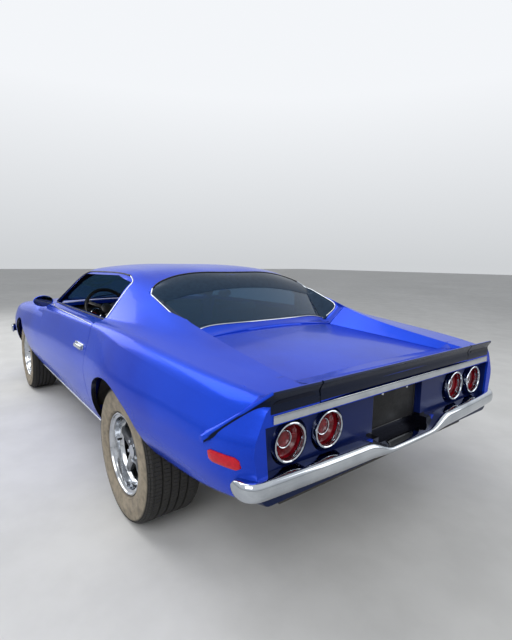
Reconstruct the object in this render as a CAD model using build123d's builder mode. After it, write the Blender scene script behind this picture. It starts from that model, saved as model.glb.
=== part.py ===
from build123d import *
import math
import os

# Overall size: origin on the ground under the middle of the car, +X ahead, +Y left
length = 4775
wheelbase = 2743
front_overhang = 955
nose_x = length / 2
tail_x = -length / 2
front_axle_x = nose_x - front_overhang
rear_axle_x = front_axle_x - wheelbase
far = 3000

# Panel work
panel_gap = 5
skin = 25
pillar_wall = 32
lid_wall = 24
glass_drop = 8
belt_z = 958
firewall_top_z = 938
pillar_top_z = 912
floor_z = 292
floor_wall = 28
sill_top_z = 345
sill_inner_y = 640
jack_xs = (300, -750)
jack_y = 700
jack_z = 284
jack_half = 35
fender_floor_z = 420
door_front_x = 440
door_rear_x = -900
door_inner_y = 735
door_edge_step = 25
door_step_y = 145
hood_rear_x = 705
hood_front_x = 2270
hood_rear_half = 700
hood_front_half = 640
sheet_front_x = 2330
sheet_rear_x = -2330
nose_depth = 34
cowl_rear_x = 655
firewall_x = 675
firewall_wall = 20
pillar_width = 90
pillar_rear_x = 450
quarter_x = door_rear_x - panel_gap
quarter_inner_y = 700
quarter_lip = 40
quarter_floor_z = 600
tub_floor_z = 480
glass_bottom_x = -1430
sail_floor_z = 880
lid_front_x = -1475
lid_front_half = 440
lid_rear_half = 520
lid_seat_z = 827
lid_floor_z = 790
tail_wall_x = -2262
wall_rise = 0.8

# Side window outline: x and z of its corners
WINDOW = [(490, 930), (105, 1205), (-640, 1216), (-868, 1182), (-905, 930)]

# Windscreen, rear window and deck surfaces. Columns: x, half width, z of the middle,
# z of the sides, lean of the side walls
SCREEN = [
    (1200, 1100, 958, 898, 1),
    (655, 1100, 958, 808, 1),
    (0, 1100, 1342, 1192, 1),
]
BACKLIGHT = [
    (-1000, 640, 1272, 1190, 60),
    (-1480, 455, 930, 884, 130),
]
DECK = [
    (-1440, 450, 945, 925, 130),
    (-1900, 500, 908, 892, 90),
    (-2400, 540, 866, 856, 60),
]

# Front end
grille_x = 2322
grille_depth = 30
grille_half_width = 720
grille_inner_half = 440
grille_z0 = 572
grille_z1 = 748
grille_bar = 8
grille_rows = 5
grille_columns = 16
grille_pitch_z = (grille_z1 - grille_z0 - grille_bar) / grille_rows
grille_pitch_y = 2 * grille_inner_half / grille_columns
headlamp_y = 585
headlamp_z = 660
headlamp_r = 70
headlamp_ring = 12
headlamp_depth = 60
bumper_corner = 60
bumper_bow = 30
bumper_wall = 22
front_bumper_half = 890
front_bumper_wrap = 190
rear_bumper_half = 850
rear_bumper_wrap = 92
rear_bumper_wall = 50
# Bumper outlines from the end to the middle: y and z, lower edge then upper edge
FRONT_BUMPER_EDGE = [(0, 462), (890, 470), (890, 548), (0, 562)]
REAR_BUMPER_EDGE = [(140, 505), (290, 545), (862, 570), (862, 694), (290, 676), (150, 574)]
# Slope of the rear bumper's shelf, and how it drops round the plate: x and z
REAR_SHELF = [(-2500, 586), (-2384, 640), (-2310, 690), (-2000, 700), (-2000, 900), (-2500, 900)]
REAR_SHELF_LOW = [(-2500, 470), (-2384, 530), (-2310, 574), (-2000, 590), (-2000, 900), (-2500, 900)]
shelf_low_y = 165

# Tail
recess_x = -2296
recess_half_top = 765
recess_half_bottom = 750
recess_z0 = 622
recess_z1 = 802
plate_recess_x = -2270
plate_half_width = 178
plate_z0 = 588
plate_bolt_y = 88.9
plate_bolt_z = 770
plate_bolt_r = 3.5
lamp_ys = (-631, -446, 446, 631)
lamp_z = 712
lamp_r = 74
lamp_ring = 9
lamp_x = -2320
lens_x = -2272
# Marker lamps: x and y of both ends, middle z
REAR_MARKER = (-2160, 868, -2285, 820, 684)
FRONT_MARKER = (2195, 857, 2075, 872, 600)
marker_half_height = 15
marker_proud = 6
marker_sunk = 14
# Spoiler section: x and z
SPOILER = [(-2185, 840), (-2185, 877), (-2275, 889), (-2340, 918), (-2343, 908),
           (-2327, 885), (-2331, 866), (-2330, 840)]
SPOILER_CORNER = [(-2210, 862), (-2342, 914), (-2334, 876), (-2235, 850)]
SPOILER_LOW = [(-2138, 744), (-2158, 748), (-2164, 728), (-2144, 724)]
spoiler_joint_y = 529
spoiler_corner_y = 745
spoiler_low_y = 888

# Doors' fittings
handle_x = -760
handle_length = 150
handle_height = 30
handle_z = 810
handle_y0 = 880
handle_y1 = 934
mirror_x = 410
mirror_y = 872
mirror_foot_y = 838
mirror_z = 978
mirror_foot = 14
mirror_depth = 60
mirror_half_width = 75
mirror_half_height = 45

# Wheels
front_tyre_r = 332.5
rear_tyre_r = 345
front_tyre_w = 235
rear_tyre_w = 285
wheel_face_y = 872
rim_r = 194
rim_wall = 12
rim_lip_r = 206
rim_lip = 10
lip_inset = 15
spoke_count = 5
spoke_depth = 30
spoke_set_back = 55
spoke_width = 62
hub_r = 62
hub_length = 60
bore_r = 30
running_gap = 0.05
cap_wall = 12
bead_rise = 2
# Tyre profile from bead to tread: share of the wall's height, and how far in from the side
TYRE_WALL = [(0.12, 8), (0.45, 0), (0.75, 4), (0.93, 16), (0.985, 32), (1, 52)]
front_arch_r = 376
rear_arch_r = 382
arch_rise = 18
house_r = 420
rear_house_y = 560
tub_outer_y = 855
tub_wall = 14

# Chassis
apron_y = 440
apron_wall = 15
inner_margin = 250
rail_y = 385
rail_z0 = 300
rail_z1 = 400
rail_inner_y = 330
apron_top_z = 790
radiator_top_z = 770
beam_half = 90
knuckle_gap = 1
exhaust_y = 230
exhaust_z = 225
exhaust_r = 28
exhaust_rear_x = -900
exhaust_front_x = 1100
silencer_r = 55
silencer_rear_x = -450
silencer_front_x = 0
# Leaf spring's front eye, middle and rear eye: x and z
SPRING = [(-760, 280), (-1310, 312), (-1960, 330)]
frame_front_x = 2120
radiator_wall = 40
steer_y = 690
knuckle_half = 28
arm_low_z = 225
arm_high_z = 455
arm_wall = 24
arm_half = 45
arm_end = 22
ball_r = 12
disc_r = 140
disc_wall = 14
axle_r = 42
stub_inner_y = 610
drum_r = 140
diff_r = 125
diff_half = 90
spring_y = 500
spring_width = 60
spring_wall = 30
tank = (-2150, -1760, -330, 330, 372, 470)
# Floor underside from the firewall to the tail: x and z
FLOOR = [(675, 292), (-780, 292), (-960, 480), (-1700, 500), (-1800, 470), (-2262, 470)]
tunnel_r = 140

# Engine, plain: x and z outline, half width
ENGINE = [(1080, 400), (1080, 760), (1180, 800), (1650, 800), (1720, 700), (1720, 420),
          (1500, 330), (1250, 330)]
engine_half = 270

# Cabin. Outlines of x and z, then the two sides
DASH = [(630, 640), (630, 915), (520, 920), (450, 890), (440, 800), (500, 720)]
SEAT = [(160, 320), (160, 520), (130, 560), (-300, 520), (-460, 1000), (-520, 1010),
        (-560, 960), (-400, 430), (-400, 320)]
REAR_SEAT = [(-600, 320), (-600, 530), (-640, 570), (-880, 540), (-1020, 860), (-1100, 880),
             (-1110, 508), (-960, 508), (-780, 320)]
SHELF = [(-1115, 870), (-1115, 895), (-1470, 895), (-1470, 870)]
seat_y = 390
seat_half = 225
rear_seat_half = 535
steering_x = 330
steering_z = 900
steering_r = 185
steering_bar = 15
steering_tilt = 65
column_length = 200

# Front half of the body. Columns: x, then y and z of the sill, the tuck, the crease,
# the shoulder and the hood's crown
FRONT = [
    (2330, 690, 300, 765, 430, 805, 640, 765, 768, 450, 790),
    (2100, 750, 290, 850, 460, 868, 652, 812, 814, 450, 842),
    (1800, 772, 288, 885, 470, 905, 658, 840, 850, 450, 878),
    (1433, 775, 290, 893, 480, 925, 663, 854, 884, 450, 910),
    (1100, 775, 291, 893, 480, 924, 669, 860, 912, 450, 934),
    (880, 775, 292, 893, 480, 922, 674, 861, 927, 450, 946),
    (600, 775, 292, 893, 480, 920, 681, 860, 938, 450, 955),
    (300, 775, 292, 893, 480, 918, 688, 859, 945, 450, 962),
]
# Rear half with the cabin. Columns: x, then y and z of the sill, the tuck, the crease,
# the shoulder, the belt, the roof rail and the roof's crown
REAR = [
    (1100, 775, 291, 893, 480, 924, 669, 860, 912, 716, 925, 560, 1180, 280, 1210),
    (880, 775, 292, 893, 480, 922, 674, 861, 927, 728, 936, 566, 1196, 280, 1226),
    (600, 775, 292, 893, 480, 920, 681, 860, 938, 748, 945, 574, 1212, 285, 1245),
    (300, 775, 292, 893, 480, 918, 688, 859, 945, 768, 950, 590, 1228, 290, 1266),
    (-350, 775, 292, 893, 482, 920, 700, 858, 949, 796, 954, 612, 1246, 300, 1289),
    (-800, 778, 295, 895, 490, 928, 712, 862, 958, 798, 964, 612, 1226, 300, 1276),
    (-1150, 790, 335, 902, 505, 945, 728, 872, 966, 790, 980, 605, 1128, 300, 1196),
    (-1500, 812, 430, 905, 545, 943, 738, 866, 952, 760, 966, 615, 1022, 300, 1050),
    (-1900, 828, 485, 880, 590, 905, 741, 838, 922, 720, 930, 560, 946, 280, 958),
    (-2150, 808, 510, 852, 600, 880, 742, 806, 902, 680, 905, 520, 912, 260, 918),
    (-2330, 765, 535, 790, 620, 812, 742, 750, 880, 640, 883, 480, 888, 240, 892),
]
FRONT_ROUNDING = [0.3, 0.45, 0.3, 0.4, 0.45]
REAR_ROUNDING = [0.3, 0.45, 0.3, 0.42, 0.4, 0.35, 0.45]


def rounded_loop(half, shares, inset):
    """Closed section from its left half's corners, each corner an arc as large as asked."""
    loop = half + [(-y, z) for y, z in reversed(half)]
    share = shares + shares[::-1]
    count = len(loop)
    corners = []
    for i in range(count):
        a, b, c = loop[i - 1], loop[i], loop[(i + 1) % count]
        u = (b[0] - a[0], b[1] - a[1])
        v = (c[0] - b[0], c[1] - b[1])
        lu, lv = math.hypot(*u), math.hypot(*v)
        nu, nv = (-u[1] / lu, u[0] / lu), (-v[1] / lv, v[0] / lv)
        spread = 1 + nu[0] * nv[0] + nu[1] * nv[1]
        corners.append((b[0] + inset * (nu[0] + nv[0]) / spread,
                        b[1] + inset * (nu[1] + nv[1]) / spread))
    radii = []
    for i in range(count):
        a, b, c = corners[i - 1], corners[i], corners[(i + 1) % count]
        u = (b[0] - a[0], b[1] - a[1])
        v = (c[0] - b[0], c[1] - b[1])
        turn = abs(math.atan2(u[0] * v[1] - u[1] * v[0], u[0] * v[0] + u[1] * v[1]))
        radii.append(share[i] * min(math.hypot(*u), math.hypot(*v)) / math.tan(turn / 2))
    return corners, radii


def hull(stations, shares, inset=0):
    """Body form lofted through its stations, moved in by the wall asked for."""
    with BuildPart() as form:
        for station in stations:
            half = list(zip(station[1::2], station[2::2]))
            corners, radii = rounded_loop(half, shares, inset)
            with BuildSketch(Plane.YZ.offset(station[0])):
                with BuildLine():
                    FilletPolyline(*corners, radius=radii, close=True)
                make_face()
        loft()
    return form.part


def trough(stations, top_z=1500):
    """Space above a crowned surface. Columns: x, half width, z of the middle, z of the
    sides, and how far the side walls lean out on their way up"""
    with BuildPart() as form:
        for x, half_width, mid_z, side_z, lean in stations:
            wall_z = side_z + lean * wall_rise
            with BuildSketch(Plane.YZ.offset(x)):
                with BuildLine():
                    ThreePointArc((-half_width, side_z), (0, mid_z), (half_width, side_z))
                    Polyline((half_width, side_z), (half_width + lean, wall_z),
                             (half_width + lean, top_z), (-half_width - lean, top_z),
                             (-half_width - lean, wall_z), (-half_width, side_z))
                make_face()
        loft(ruled=True)
    return form.part


def plan(points, z0, z1, mode=Mode.ADD):
    """Upright prism over an outline seen from above, in the open part."""
    with BuildSketch(Plane.XY.offset(z0)) as outline:
        with BuildLine():
            Polyline(*points, close=True)
        make_face()
    extrude(outline.sketch, amount=z1 - z0, mode=mode)


def side(points, y0, y1, mode=Mode.ADD):
    """Cross prism over an outline seen from the side, in the open part."""
    with BuildSketch(Plane.XZ.offset(-y1)) as outline:
        with BuildLine():
            Polyline(*points, close=True)
        make_face()
    extrude(outline.sketch, amount=y1 - y0, mode=mode)


def face_on(points, x0, x1, mode=Mode.ADD):
    """Prism over an outline seen from behind, y across and z up, in the open part."""
    with BuildSketch(Plane.YZ.offset(x0)) as outline:
        with BuildLine():
            Polyline(*points, close=True)
        make_face()
    extrude(outline.sketch, amount=x1 - x0, mode=mode)


def block(x0, x1, y0, y1, z0, z1, mode=Mode.ADD):
    """Box between two corners, in the open part."""
    plan([(x0, y0), (x1, y0), (x1, y1), (x0, y1)], z0, z1, mode)


def drum(x, z, r, y0, y1, mode=Mode.ADD):
    """Round bar across the car, in the open part."""
    with BuildSketch(Plane.XZ.offset(-y1)) as outline:
        with Locations((x, z)):
            Circle(r)
    extrude(outline.sketch, amount=y1 - y0, mode=mode)


def post(x, y, r, z0, z1, mode=Mode.ADD):
    """Round upright bar, in the open part."""
    with BuildSketch(Plane.XY.offset(z0)) as outline:
        with Locations((x, y)):
            Circle(r)
    extrude(outline.sketch, amount=z1 - z0, mode=mode)


def pipe(y, z, r, x0, x1, mode=Mode.ADD):
    """Round bar along the car, in the open part."""
    with BuildSketch(Plane.YZ.offset(x0)) as outline:
        with Locations((y, z)):
            Circle(r)
    extrude(outline.sketch, amount=x1 - x0, mode=mode)


def marker(x0, y0, x1, y1, z):
    """Left marker lamp, let into the panel behind it."""
    run = math.hypot(x1 - x0, y1 - y0)
    across = ((y0 - y1) / run, (x1 - x0) / run)
    if across[1] < 0:
        across = (-across[0], -across[1])
    points = [(x + d * across[0], y + d * across[1])
              for d, (x, y) in ((marker_proud, (x0, y0)), (marker_proud, (x1, y1)),
                                (-marker_sunk, (x1, y1)), (-marker_sunk, (x0, y0)))]
    with BuildPart() as form:
        plan(points, z - marker_half_height, z + marker_half_height)
    return form.part


def both_sides(half):
    """Outline with its mirror image across the middle."""
    return half + [(-y, z) for y, z in reversed(half) if y]


def pillar_y(x):
    """Inner face of the rear pillar, just inside the rear window's side walls."""
    (x0, half0), (x1, half1) = BACKLIGHT[0][:2], BACKLIGHT[1][:2]
    return half0 - panel_gap + (half1 - half0) * (x - x0) / (x1 - x0)


def largest(form):
    """The main solid of a form, without the chips a cut leaves."""
    return Part(form.solids().sort_by(SortBy.VOLUME)[-1].wrapped)


def write(name, form):
    """Label a finished piece and write it."""
    form.label = name
    export_step(form, f"parts/{name}.step")


def write_pair(name, form):
    """Write a left piece and its mirror image."""
    write(f"{name}_left", form)
    write(f"{name}_right", mirror(form, about=Plane.XZ))


os.makedirs("parts", exist_ok=True)

# Masters that several pieces are cut from
front_form = hull(FRONT, FRONT_ROUNDING)
front_core = hull(FRONT, FRONT_ROUNDING, skin)
front_lowered = front_form.moved(Location((0, 0, -lid_wall)))
rear_core = hull(REAR, REAR_ROUNDING, skin)
pillar_core = hull(REAR, REAR_ROUNDING, pillar_wall)
screen_space = trough(SCREEN)
backlight_space = trough(BACKLIGHT)
deck_space = trough(DECK)
with BuildPart() as rear_form:
    add(hull(REAR, REAR_ROUNDING))
    add(backlight_space, mode=Mode.SUBTRACT)
    add(deck_space, mode=Mode.SUBTRACT)
rear_lowered = rear_form.part.moved(Location((0, 0, -lid_wall)))

front_marker = marker(*FRONT_MARKER)
rear_marker = marker(*REAR_MARKER)
with BuildPart() as markers:
    for lamp in (front_marker, rear_marker):
        add(lamp)
        add(mirror(lamp, about=Plane.XZ))
write("marker_lamps", markers.part)

# Front wings
with BuildPart() as fender:
    add(front_form)
    plan([(door_front_x + panel_gap, far), (sheet_front_x - nose_depth, far),
          (sheet_front_x - nose_depth, hood_front_half + panel_gap),
          (hood_rear_x, hood_rear_half + panel_gap),
          (door_front_x + panel_gap, hood_rear_half + panel_gap)], 0, far, Mode.INTERSECT)
    add(front_core, mode=Mode.SUBTRACT)
    block(door_front_x, sheet_front_x, 0, apron_y + inner_margin, 0, fender_floor_z, Mode.SUBTRACT)
    drum(front_axle_x, front_tyre_r + arch_rise, front_arch_r, 0, far, Mode.SUBTRACT)
    add(front_marker, mode=Mode.SUBTRACT)
write_pair("front_fender", fender.part)

# Hood
with BuildPart() as hood:
    add(front_form)
    plan([(hood_rear_x, -hood_rear_half), (hood_front_x, -hood_front_half),
          (hood_front_x, hood_front_half), (hood_rear_x, hood_rear_half)],
         fender_floor_z, far, Mode.INTERSECT)
    add(front_lowered, mode=Mode.SUBTRACT)
write("hood", hood.part)

# Nose: header, front face round the grille opening, and valance
with BuildPart() as nose:
    add(front_form)
    plan([(hood_front_x + panel_gap, -hood_front_half), (hood_front_x + panel_gap, hood_front_half),
          (sheet_front_x, hood_front_half), (sheet_front_x, -hood_front_half)],
         fender_floor_z, far, Mode.INTERSECT)
    add(front_lowered, mode=Mode.SUBTRACT)
with BuildPart() as nose_panel:
    add(front_form)
    block(sheet_front_x - nose_depth + panel_gap, sheet_front_x, -far, far, 0, far, Mode.INTERSECT)
    block(hood_front_x, far, -grille_half_width, grille_half_width, grille_z0, grille_z1,
          Mode.SUBTRACT)
    add(nose.part)
write("nose_panel", nose_panel.part)

# Grille: a frame with thin slats and uprights
with BuildPart() as grille:
    with BuildSketch(Plane.YZ.offset(grille_x - grille_depth)):
        with Locations((0, (grille_z0 + grille_z1) / 2)):
            Rectangle(2 * grille_half_width, grille_z1 - grille_z0)
            with GridLocations(grille_pitch_y, grille_pitch_z, grille_columns, grille_rows):
                Rectangle(grille_pitch_y - grille_bar, grille_pitch_z - grille_bar,
                          mode=Mode.SUBTRACT)
        with Locations((-headlamp_y, headlamp_z), (headlamp_y, headlamp_z)):
            Circle(headlamp_r + headlamp_ring, mode=Mode.SUBTRACT)
    extrude(amount=grille_depth)
write("grille", grille.part)

with BuildPart() as headlamps:
    for y in (-headlamp_y, headlamp_y):
        pipe(y, headlamp_z, headlamp_r + headlamp_ring, grille_x - headlamp_depth,
             grille_x + headlamp_ring)
        pipe(y, headlamp_z, headlamp_r, grille_x, grille_x + headlamp_ring, Mode.SUBTRACT)
write("headlamps", headlamps.part)

# Bumpers
def bumper(face_x, half_width, corner_x, side_x, wall, outline, sign):
    """Curved bar in plan, cut to an outline seen from behind."""
    with BuildPart() as form:
        with BuildSketch(Plane.XY.offset(min(z for _, z in outline))):
            for inset, mode in ((0, Mode.ADD), (wall, Mode.SUBTRACT)):
                with BuildLine():
                    ThreePointArc((corner_x - sign * inset, half_width - bumper_corner),
                                  (face_x - sign * inset, 0),
                                  (corner_x - sign * inset, bumper_corner - half_width))
                    for s in (-1, 1):
                        Line((corner_x - sign * inset, s * (half_width - bumper_corner)),
                             (corner_x - sign * bumper_corner, s * (half_width - inset)))
                        Line((corner_x - sign * bumper_corner, s * (half_width - inset)),
                             (side_x, s * (half_width - inset)))
                    Line((side_x, half_width - inset), (side_x, inset - half_width))
                make_face(mode=mode)
        extrude(amount=max(z for _, z in outline) - min(z for _, z in outline))
        face_on(outline, min(side_x, face_x), max(side_x, face_x), Mode.INTERSECT)
    return form.part


front_bumper = bumper(nose_x, front_bumper_half, nose_x - bumper_bow, nose_x - front_bumper_wrap,
                      bumper_wall, both_sides(FRONT_BUMPER_EDGE), 1)
with BuildPart() as rear_bumper:
    add(bumper(tail_x, rear_bumper_half, tail_x + bumper_bow, tail_x + rear_bumper_wrap,
               rear_bumper_wall, both_sides(REAR_BUMPER_EDGE), -1))
    side(REAR_SHELF, -far, far, Mode.SUBTRACT)
    side(REAR_SHELF_LOW, -shelf_low_y, shelf_low_y, Mode.SUBTRACT)
    add(rear_form.part, mode=Mode.SUBTRACT)
write("front_bumper", front_bumper)
write("rear_bumper", rear_bumper.part)

# Cowl, firewall and hinge pillars
with BuildPart() as cowl_top:
    add(front_form)
    block(door_front_x + panel_gap, hood_rear_x - panel_gap, -hood_rear_half - panel_gap,
          hood_rear_half + panel_gap, fender_floor_z, far, Mode.INTERSECT)
    add(front_lowered, mode=Mode.SUBTRACT)
with BuildPart() as cowl:
    block(firewall_x, firewall_x + firewall_wall, -sill_inner_y, sill_inner_y, floor_z,
          firewall_top_z)
    for y0 in (-sill_inner_y - pillar_width, sill_inner_y):
        block(pillar_rear_x, firewall_x + firewall_wall, y0, y0 + pillar_width, sill_top_z,
              pillar_top_z)
    add(cowl_top.part)
write("cowl", cowl.part)

# Doors
with BuildPart() as door:
    add(rear_form.part)
    plan([(door_front_x, door_inner_y), (door_front_x, far), (door_rear_x, far),
          (door_rear_x, door_inner_y + door_step_y),
          (door_rear_x + door_edge_step, door_inner_y)],
         sill_top_z + panel_gap, belt_z, Mode.INTERSECT)
write_pair("door", door.part)

# Door fittings: pull handle and mirror
with BuildPart() as door_fittings:
    block(handle_x - handle_length / 2, handle_x + handle_length / 2, handle_y0, handle_y1,
          handle_z - handle_height / 2, handle_z + handle_height / 2)
    add(rear_form.part, mode=Mode.SUBTRACT)
with BuildPart() as mirror_pod:
    with BuildSketch(Plane.YZ.offset(mirror_x - mirror_depth / 2)):
        with Locations((mirror_y, mirror_z)):
            Ellipse(mirror_half_width, mirror_half_height)
    extrude(amount=mirror_depth)
    block(mirror_x - mirror_foot, mirror_x + mirror_foot, mirror_foot_y - mirror_foot,
          mirror_foot_y + mirror_foot, pillar_top_z, mirror_z)
    add(rear_form.part, mode=Mode.SUBTRACT)
    add(door_fittings.part)
write_pair("door_fittings", mirror_pod.part)

# Sills with their jacking pads
with BuildPart() as sill:
    add(rear_form.part)
    block(door_rear_x - panel_gap, door_front_x + panel_gap, sill_inner_y, far, 0, sill_top_z,
          Mode.INTERSECT)
    for x in jack_xs:
        block(x - jack_half, x + jack_half, jack_y - jack_half, jack_y + jack_half, jack_z,
              floor_z + floor_wall)
write_pair("sill", sill.part)

# Roof with its windscreen pillars
with BuildPart() as roof:
    add(rear_form.part)
    plan([(quarter_x, -far), (cowl_rear_x, -far), (cowl_rear_x, far), (quarter_x, far),
          (quarter_x, pillar_y(quarter_x)), (glass_bottom_x, pillar_y(glass_bottom_x)),
          (glass_bottom_x, -pillar_y(glass_bottom_x)), (quarter_x, -pillar_y(quarter_x))],
         sail_floor_z, far, Mode.INTERSECT)
    add(screen_space, mode=Mode.SUBTRACT)
    side(WINDOW, -far, far, Mode.SUBTRACT)
    add(pillar_core, mode=Mode.SUBTRACT)
    add(front_form, mode=Mode.SUBTRACT)
    block(-far, door_front_x + panel_gap, -far, far, 0, belt_z + panel_gap, Mode.SUBTRACT)
write("roof", roof.part)

# Glass
with BuildPart() as windshield:
    add(screen_space.moved(Location((0, 0, -glass_drop))))
    add(screen_space, mode=Mode.SUBTRACT)
    add(pillar_core, mode=Mode.INTERSECT)
    add(front_form, mode=Mode.SUBTRACT)
    block(-far, cowl_rear_x, -far, far, belt_z, far, Mode.INTERSECT)
write("windshield", windshield.part)
with BuildPart() as rear_window:
    add(backlight_space.moved(Location((0, 0, -glass_drop))))
    add(backlight_space, mode=Mode.SUBTRACT)
    add(pillar_core, mode=Mode.INTERSECT)
    plan([(quarter_x, pillar_y(quarter_x)), (glass_bottom_x, pillar_y(glass_bottom_x)),
          (glass_bottom_x, -pillar_y(glass_bottom_x)), (quarter_x, -pillar_y(quarter_x))],
         0, far, Mode.INTERSECT)
write("rear_window", rear_window.part)

# Rear quarters: solid sail panels over hollow sides, open to the trunk
with BuildPart() as quarter_cavity:
    add(rear_core)
    add(deck_space.moved(Location((0, 0, -lid_wall))), mode=Mode.SUBTRACT)
    block(glass_bottom_x, far, -far, far, sail_floor_z, far, Mode.SUBTRACT)
with BuildPart() as quarter:
    add(rear_form.part)
    drum(rear_axle_x, rear_tyre_r + arch_rise, rear_arch_r, quarter_inner_y, far, Mode.SUBTRACT)
    plan([(quarter_x, pillar_y(quarter_x)), (glass_bottom_x, pillar_y(glass_bottom_x)),
          (lid_front_x + panel_gap, lid_front_half + panel_gap),
          (tail_wall_x, lid_rear_half + panel_gap), (tail_wall_x, far), (quarter_x, far)],
         0, far, Mode.INTERSECT)
    block(tail_wall_x, quarter_x, 0, quarter_inner_y + quarter_lip, 0, quarter_floor_z,
          Mode.SUBTRACT)
    add(quarter_cavity.part, mode=Mode.SUBTRACT)
    add(rear_marker, mode=Mode.SUBTRACT)
write_pair("quarter", largest(quarter.part))

# Deck lid
with BuildPart() as deck_lid:
    add(rear_form.part)
    plan([(lid_front_x, -lid_front_half), (sheet_rear_x, -lid_rear_half),
          (sheet_rear_x, lid_rear_half), (lid_front_x, lid_front_half)],
         lid_floor_z, far, Mode.INTERSECT)
    add(rear_lowered, mode=Mode.SUBTRACT)
write("deck_lid", deck_lid.part)

# Tail panel with its lamp and plate recesses
with BuildPart() as tail_panel:
    add(rear_form.part)
    block(sheet_rear_x, tail_wall_x, -far, far, 0, far, Mode.INTERSECT)
    block(sheet_rear_x, tail_wall_x, -lid_rear_half - panel_gap, lid_rear_half + panel_gap,
          lid_seat_z, far, Mode.SUBTRACT)
    face_on(both_sides([(recess_half_bottom, recess_z0), (recess_half_top, recess_z1)]),
            sheet_rear_x, recess_x, Mode.SUBTRACT)
    block(sheet_rear_x, plate_recess_x, -plate_half_width, plate_half_width, plate_z0,
          recess_z1, Mode.SUBTRACT)
    for y in lamp_ys:
        pipe(y, lamp_z, lamp_r + lamp_ring, sheet_rear_x, tail_wall_x, Mode.SUBTRACT)
    for y in (-plate_bolt_y, plate_bolt_y):
        pipe(y, plate_bolt_z, plate_bolt_r, plate_recess_x, tail_wall_x, Mode.SUBTRACT)
    add(markers.part, mode=Mode.SUBTRACT)
write("tail_panel", tail_panel.part)

with BuildPart() as tail_lamps:
    for y in lamp_ys:
        pipe(y, lamp_z, lamp_r + lamp_ring, lamp_x, tail_wall_x)
        pipe(y, lamp_z, lamp_r, lamp_x, lens_x, Mode.SUBTRACT)
write("tail_lamps", tail_lamps.part)

# Spoiler: the middle rides on the lid, the ends sweep down the quarters
with BuildPart() as spoiler:
    side(SPOILER, -spoiler_joint_y + panel_gap, spoiler_joint_y - panel_gap)
    add(rear_form.part, mode=Mode.SUBTRACT)
write("spoiler", spoiler.part)
with BuildPart() as spoiler_end:
    for outline, y in ((SPOILER_CORNER, spoiler_corner_y), (SPOILER_LOW, spoiler_low_y)):
        with BuildSketch(Plane.XZ.offset(-y)):
            with BuildLine():
                Polyline(*outline, close=True)
            make_face()
    loft()
    side(SPOILER, spoiler_joint_y, spoiler_corner_y)
    add(rear_form.part, mode=Mode.SUBTRACT)
    add(rear_marker, mode=Mode.SUBTRACT)
write_pair("spoiler_end", largest(spoiler_end.part))

# Wheel tubs, and the floor with its tunnel, stepped up over the axle
with BuildPart() as tubs:
    for y0, y1, gap0, gap1 in ((-tub_outer_y, tub_wall - rear_house_y, -far, -rear_house_y),
                               (rear_house_y - tub_wall, tub_outer_y, rear_house_y, far)):
        drum(rear_axle_x, rear_tyre_r + arch_rise, house_r + tub_wall, y0, y1)
        drum(rear_axle_x, rear_tyre_r + arch_rise, house_r, gap0, gap1, Mode.SUBTRACT)
    block(-far, quarter_x, -far, far, tub_floor_z, far, Mode.INTERSECT)
    add(pillar_core, mode=Mode.INTERSECT)
with BuildPart() as floor_pan:
    side(FLOOR + [(x, z + floor_wall) for x, z in reversed(FLOOR)], -sill_inner_y, sill_inner_y)
    pipe(0, floor_z, tunnel_r + floor_wall / 2, quarter_x, firewall_x)
    pipe(0, floor_z, tunnel_r, quarter_x, firewall_x, Mode.SUBTRACT)
    block(-far, far, -far, far, -far, floor_z, Mode.SUBTRACT)
    for gap0, gap1 in ((-far, -rear_house_y), (rear_house_y, far)):
        drum(rear_axle_x, rear_tyre_r + arch_rise, house_r, gap0, gap1, Mode.SUBTRACT)
    add(tubs.part)
write("floor_pan", floor_pan.part)

# Front frame: rails, aprons and radiator support
with BuildPart() as front_frame:
    for s in (-1, 1):
        y0, y1 = sorted((s * rail_y, s * apron_y))
        block(firewall_x + firewall_wall, frame_front_x, y0, y1, rail_z0, rail_z1)
        y0, y1 = sorted((s * (apron_y - apron_wall), s * apron_y))
        block(firewall_x + firewall_wall, frame_front_x, y0, y1, rail_z1, apron_top_z)
    block(frame_front_x, frame_front_x + radiator_wall, -apron_y, apron_y, rail_z0, radiator_top_z)
    block(front_axle_x - arm_half, front_axle_x + arm_half, -apron_y, apron_y, arm_high_z,
          arm_high_z + arm_wall, Mode.SUBTRACT)
write("front_frame", front_frame.part)

with BuildPart() as engine:
    side(ENGINE, -engine_half, engine_half)
write("engine", engine.part)

# Front suspension: crossmember with arms that hold the knuckles' balls
with BuildPart() as front_suspension:
    block(front_axle_x - beam_half, front_axle_x + beam_half, -rail_y, rail_y, arm_low_z,
          rail_z0)
    for s in (-1, 1):
        y0, y1 = sorted((s * rail_inner_y, s * (steer_y - arm_end)))
        for z0 in (arm_low_z, arm_high_z):
            block(front_axle_x - arm_half, front_axle_x + arm_half, y0, y1, z0, z0 + arm_wall)
            post(front_axle_x, s * steer_y, arm_end, z0, z0 + arm_wall)
            y2, y3 = sorted((s * (steer_y - arm_end), s * steer_y))
            block(front_axle_x - arm_end, front_axle_x + arm_end, y2, y3, z0, z0 + arm_wall)
        y0, y1 = sorted((s * rail_inner_y, s * rail_y))
        block(front_axle_x - arm_half, front_axle_x + arm_half, y0, y1, arm_low_z,
              arm_high_z + arm_wall)
        for z0 in (arm_low_z, arm_high_z):
            post(front_axle_x, s * steer_y, ball_r, z0, z0 + arm_wall, Mode.SUBTRACT)
write("front_suspension", front_suspension.part)

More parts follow.
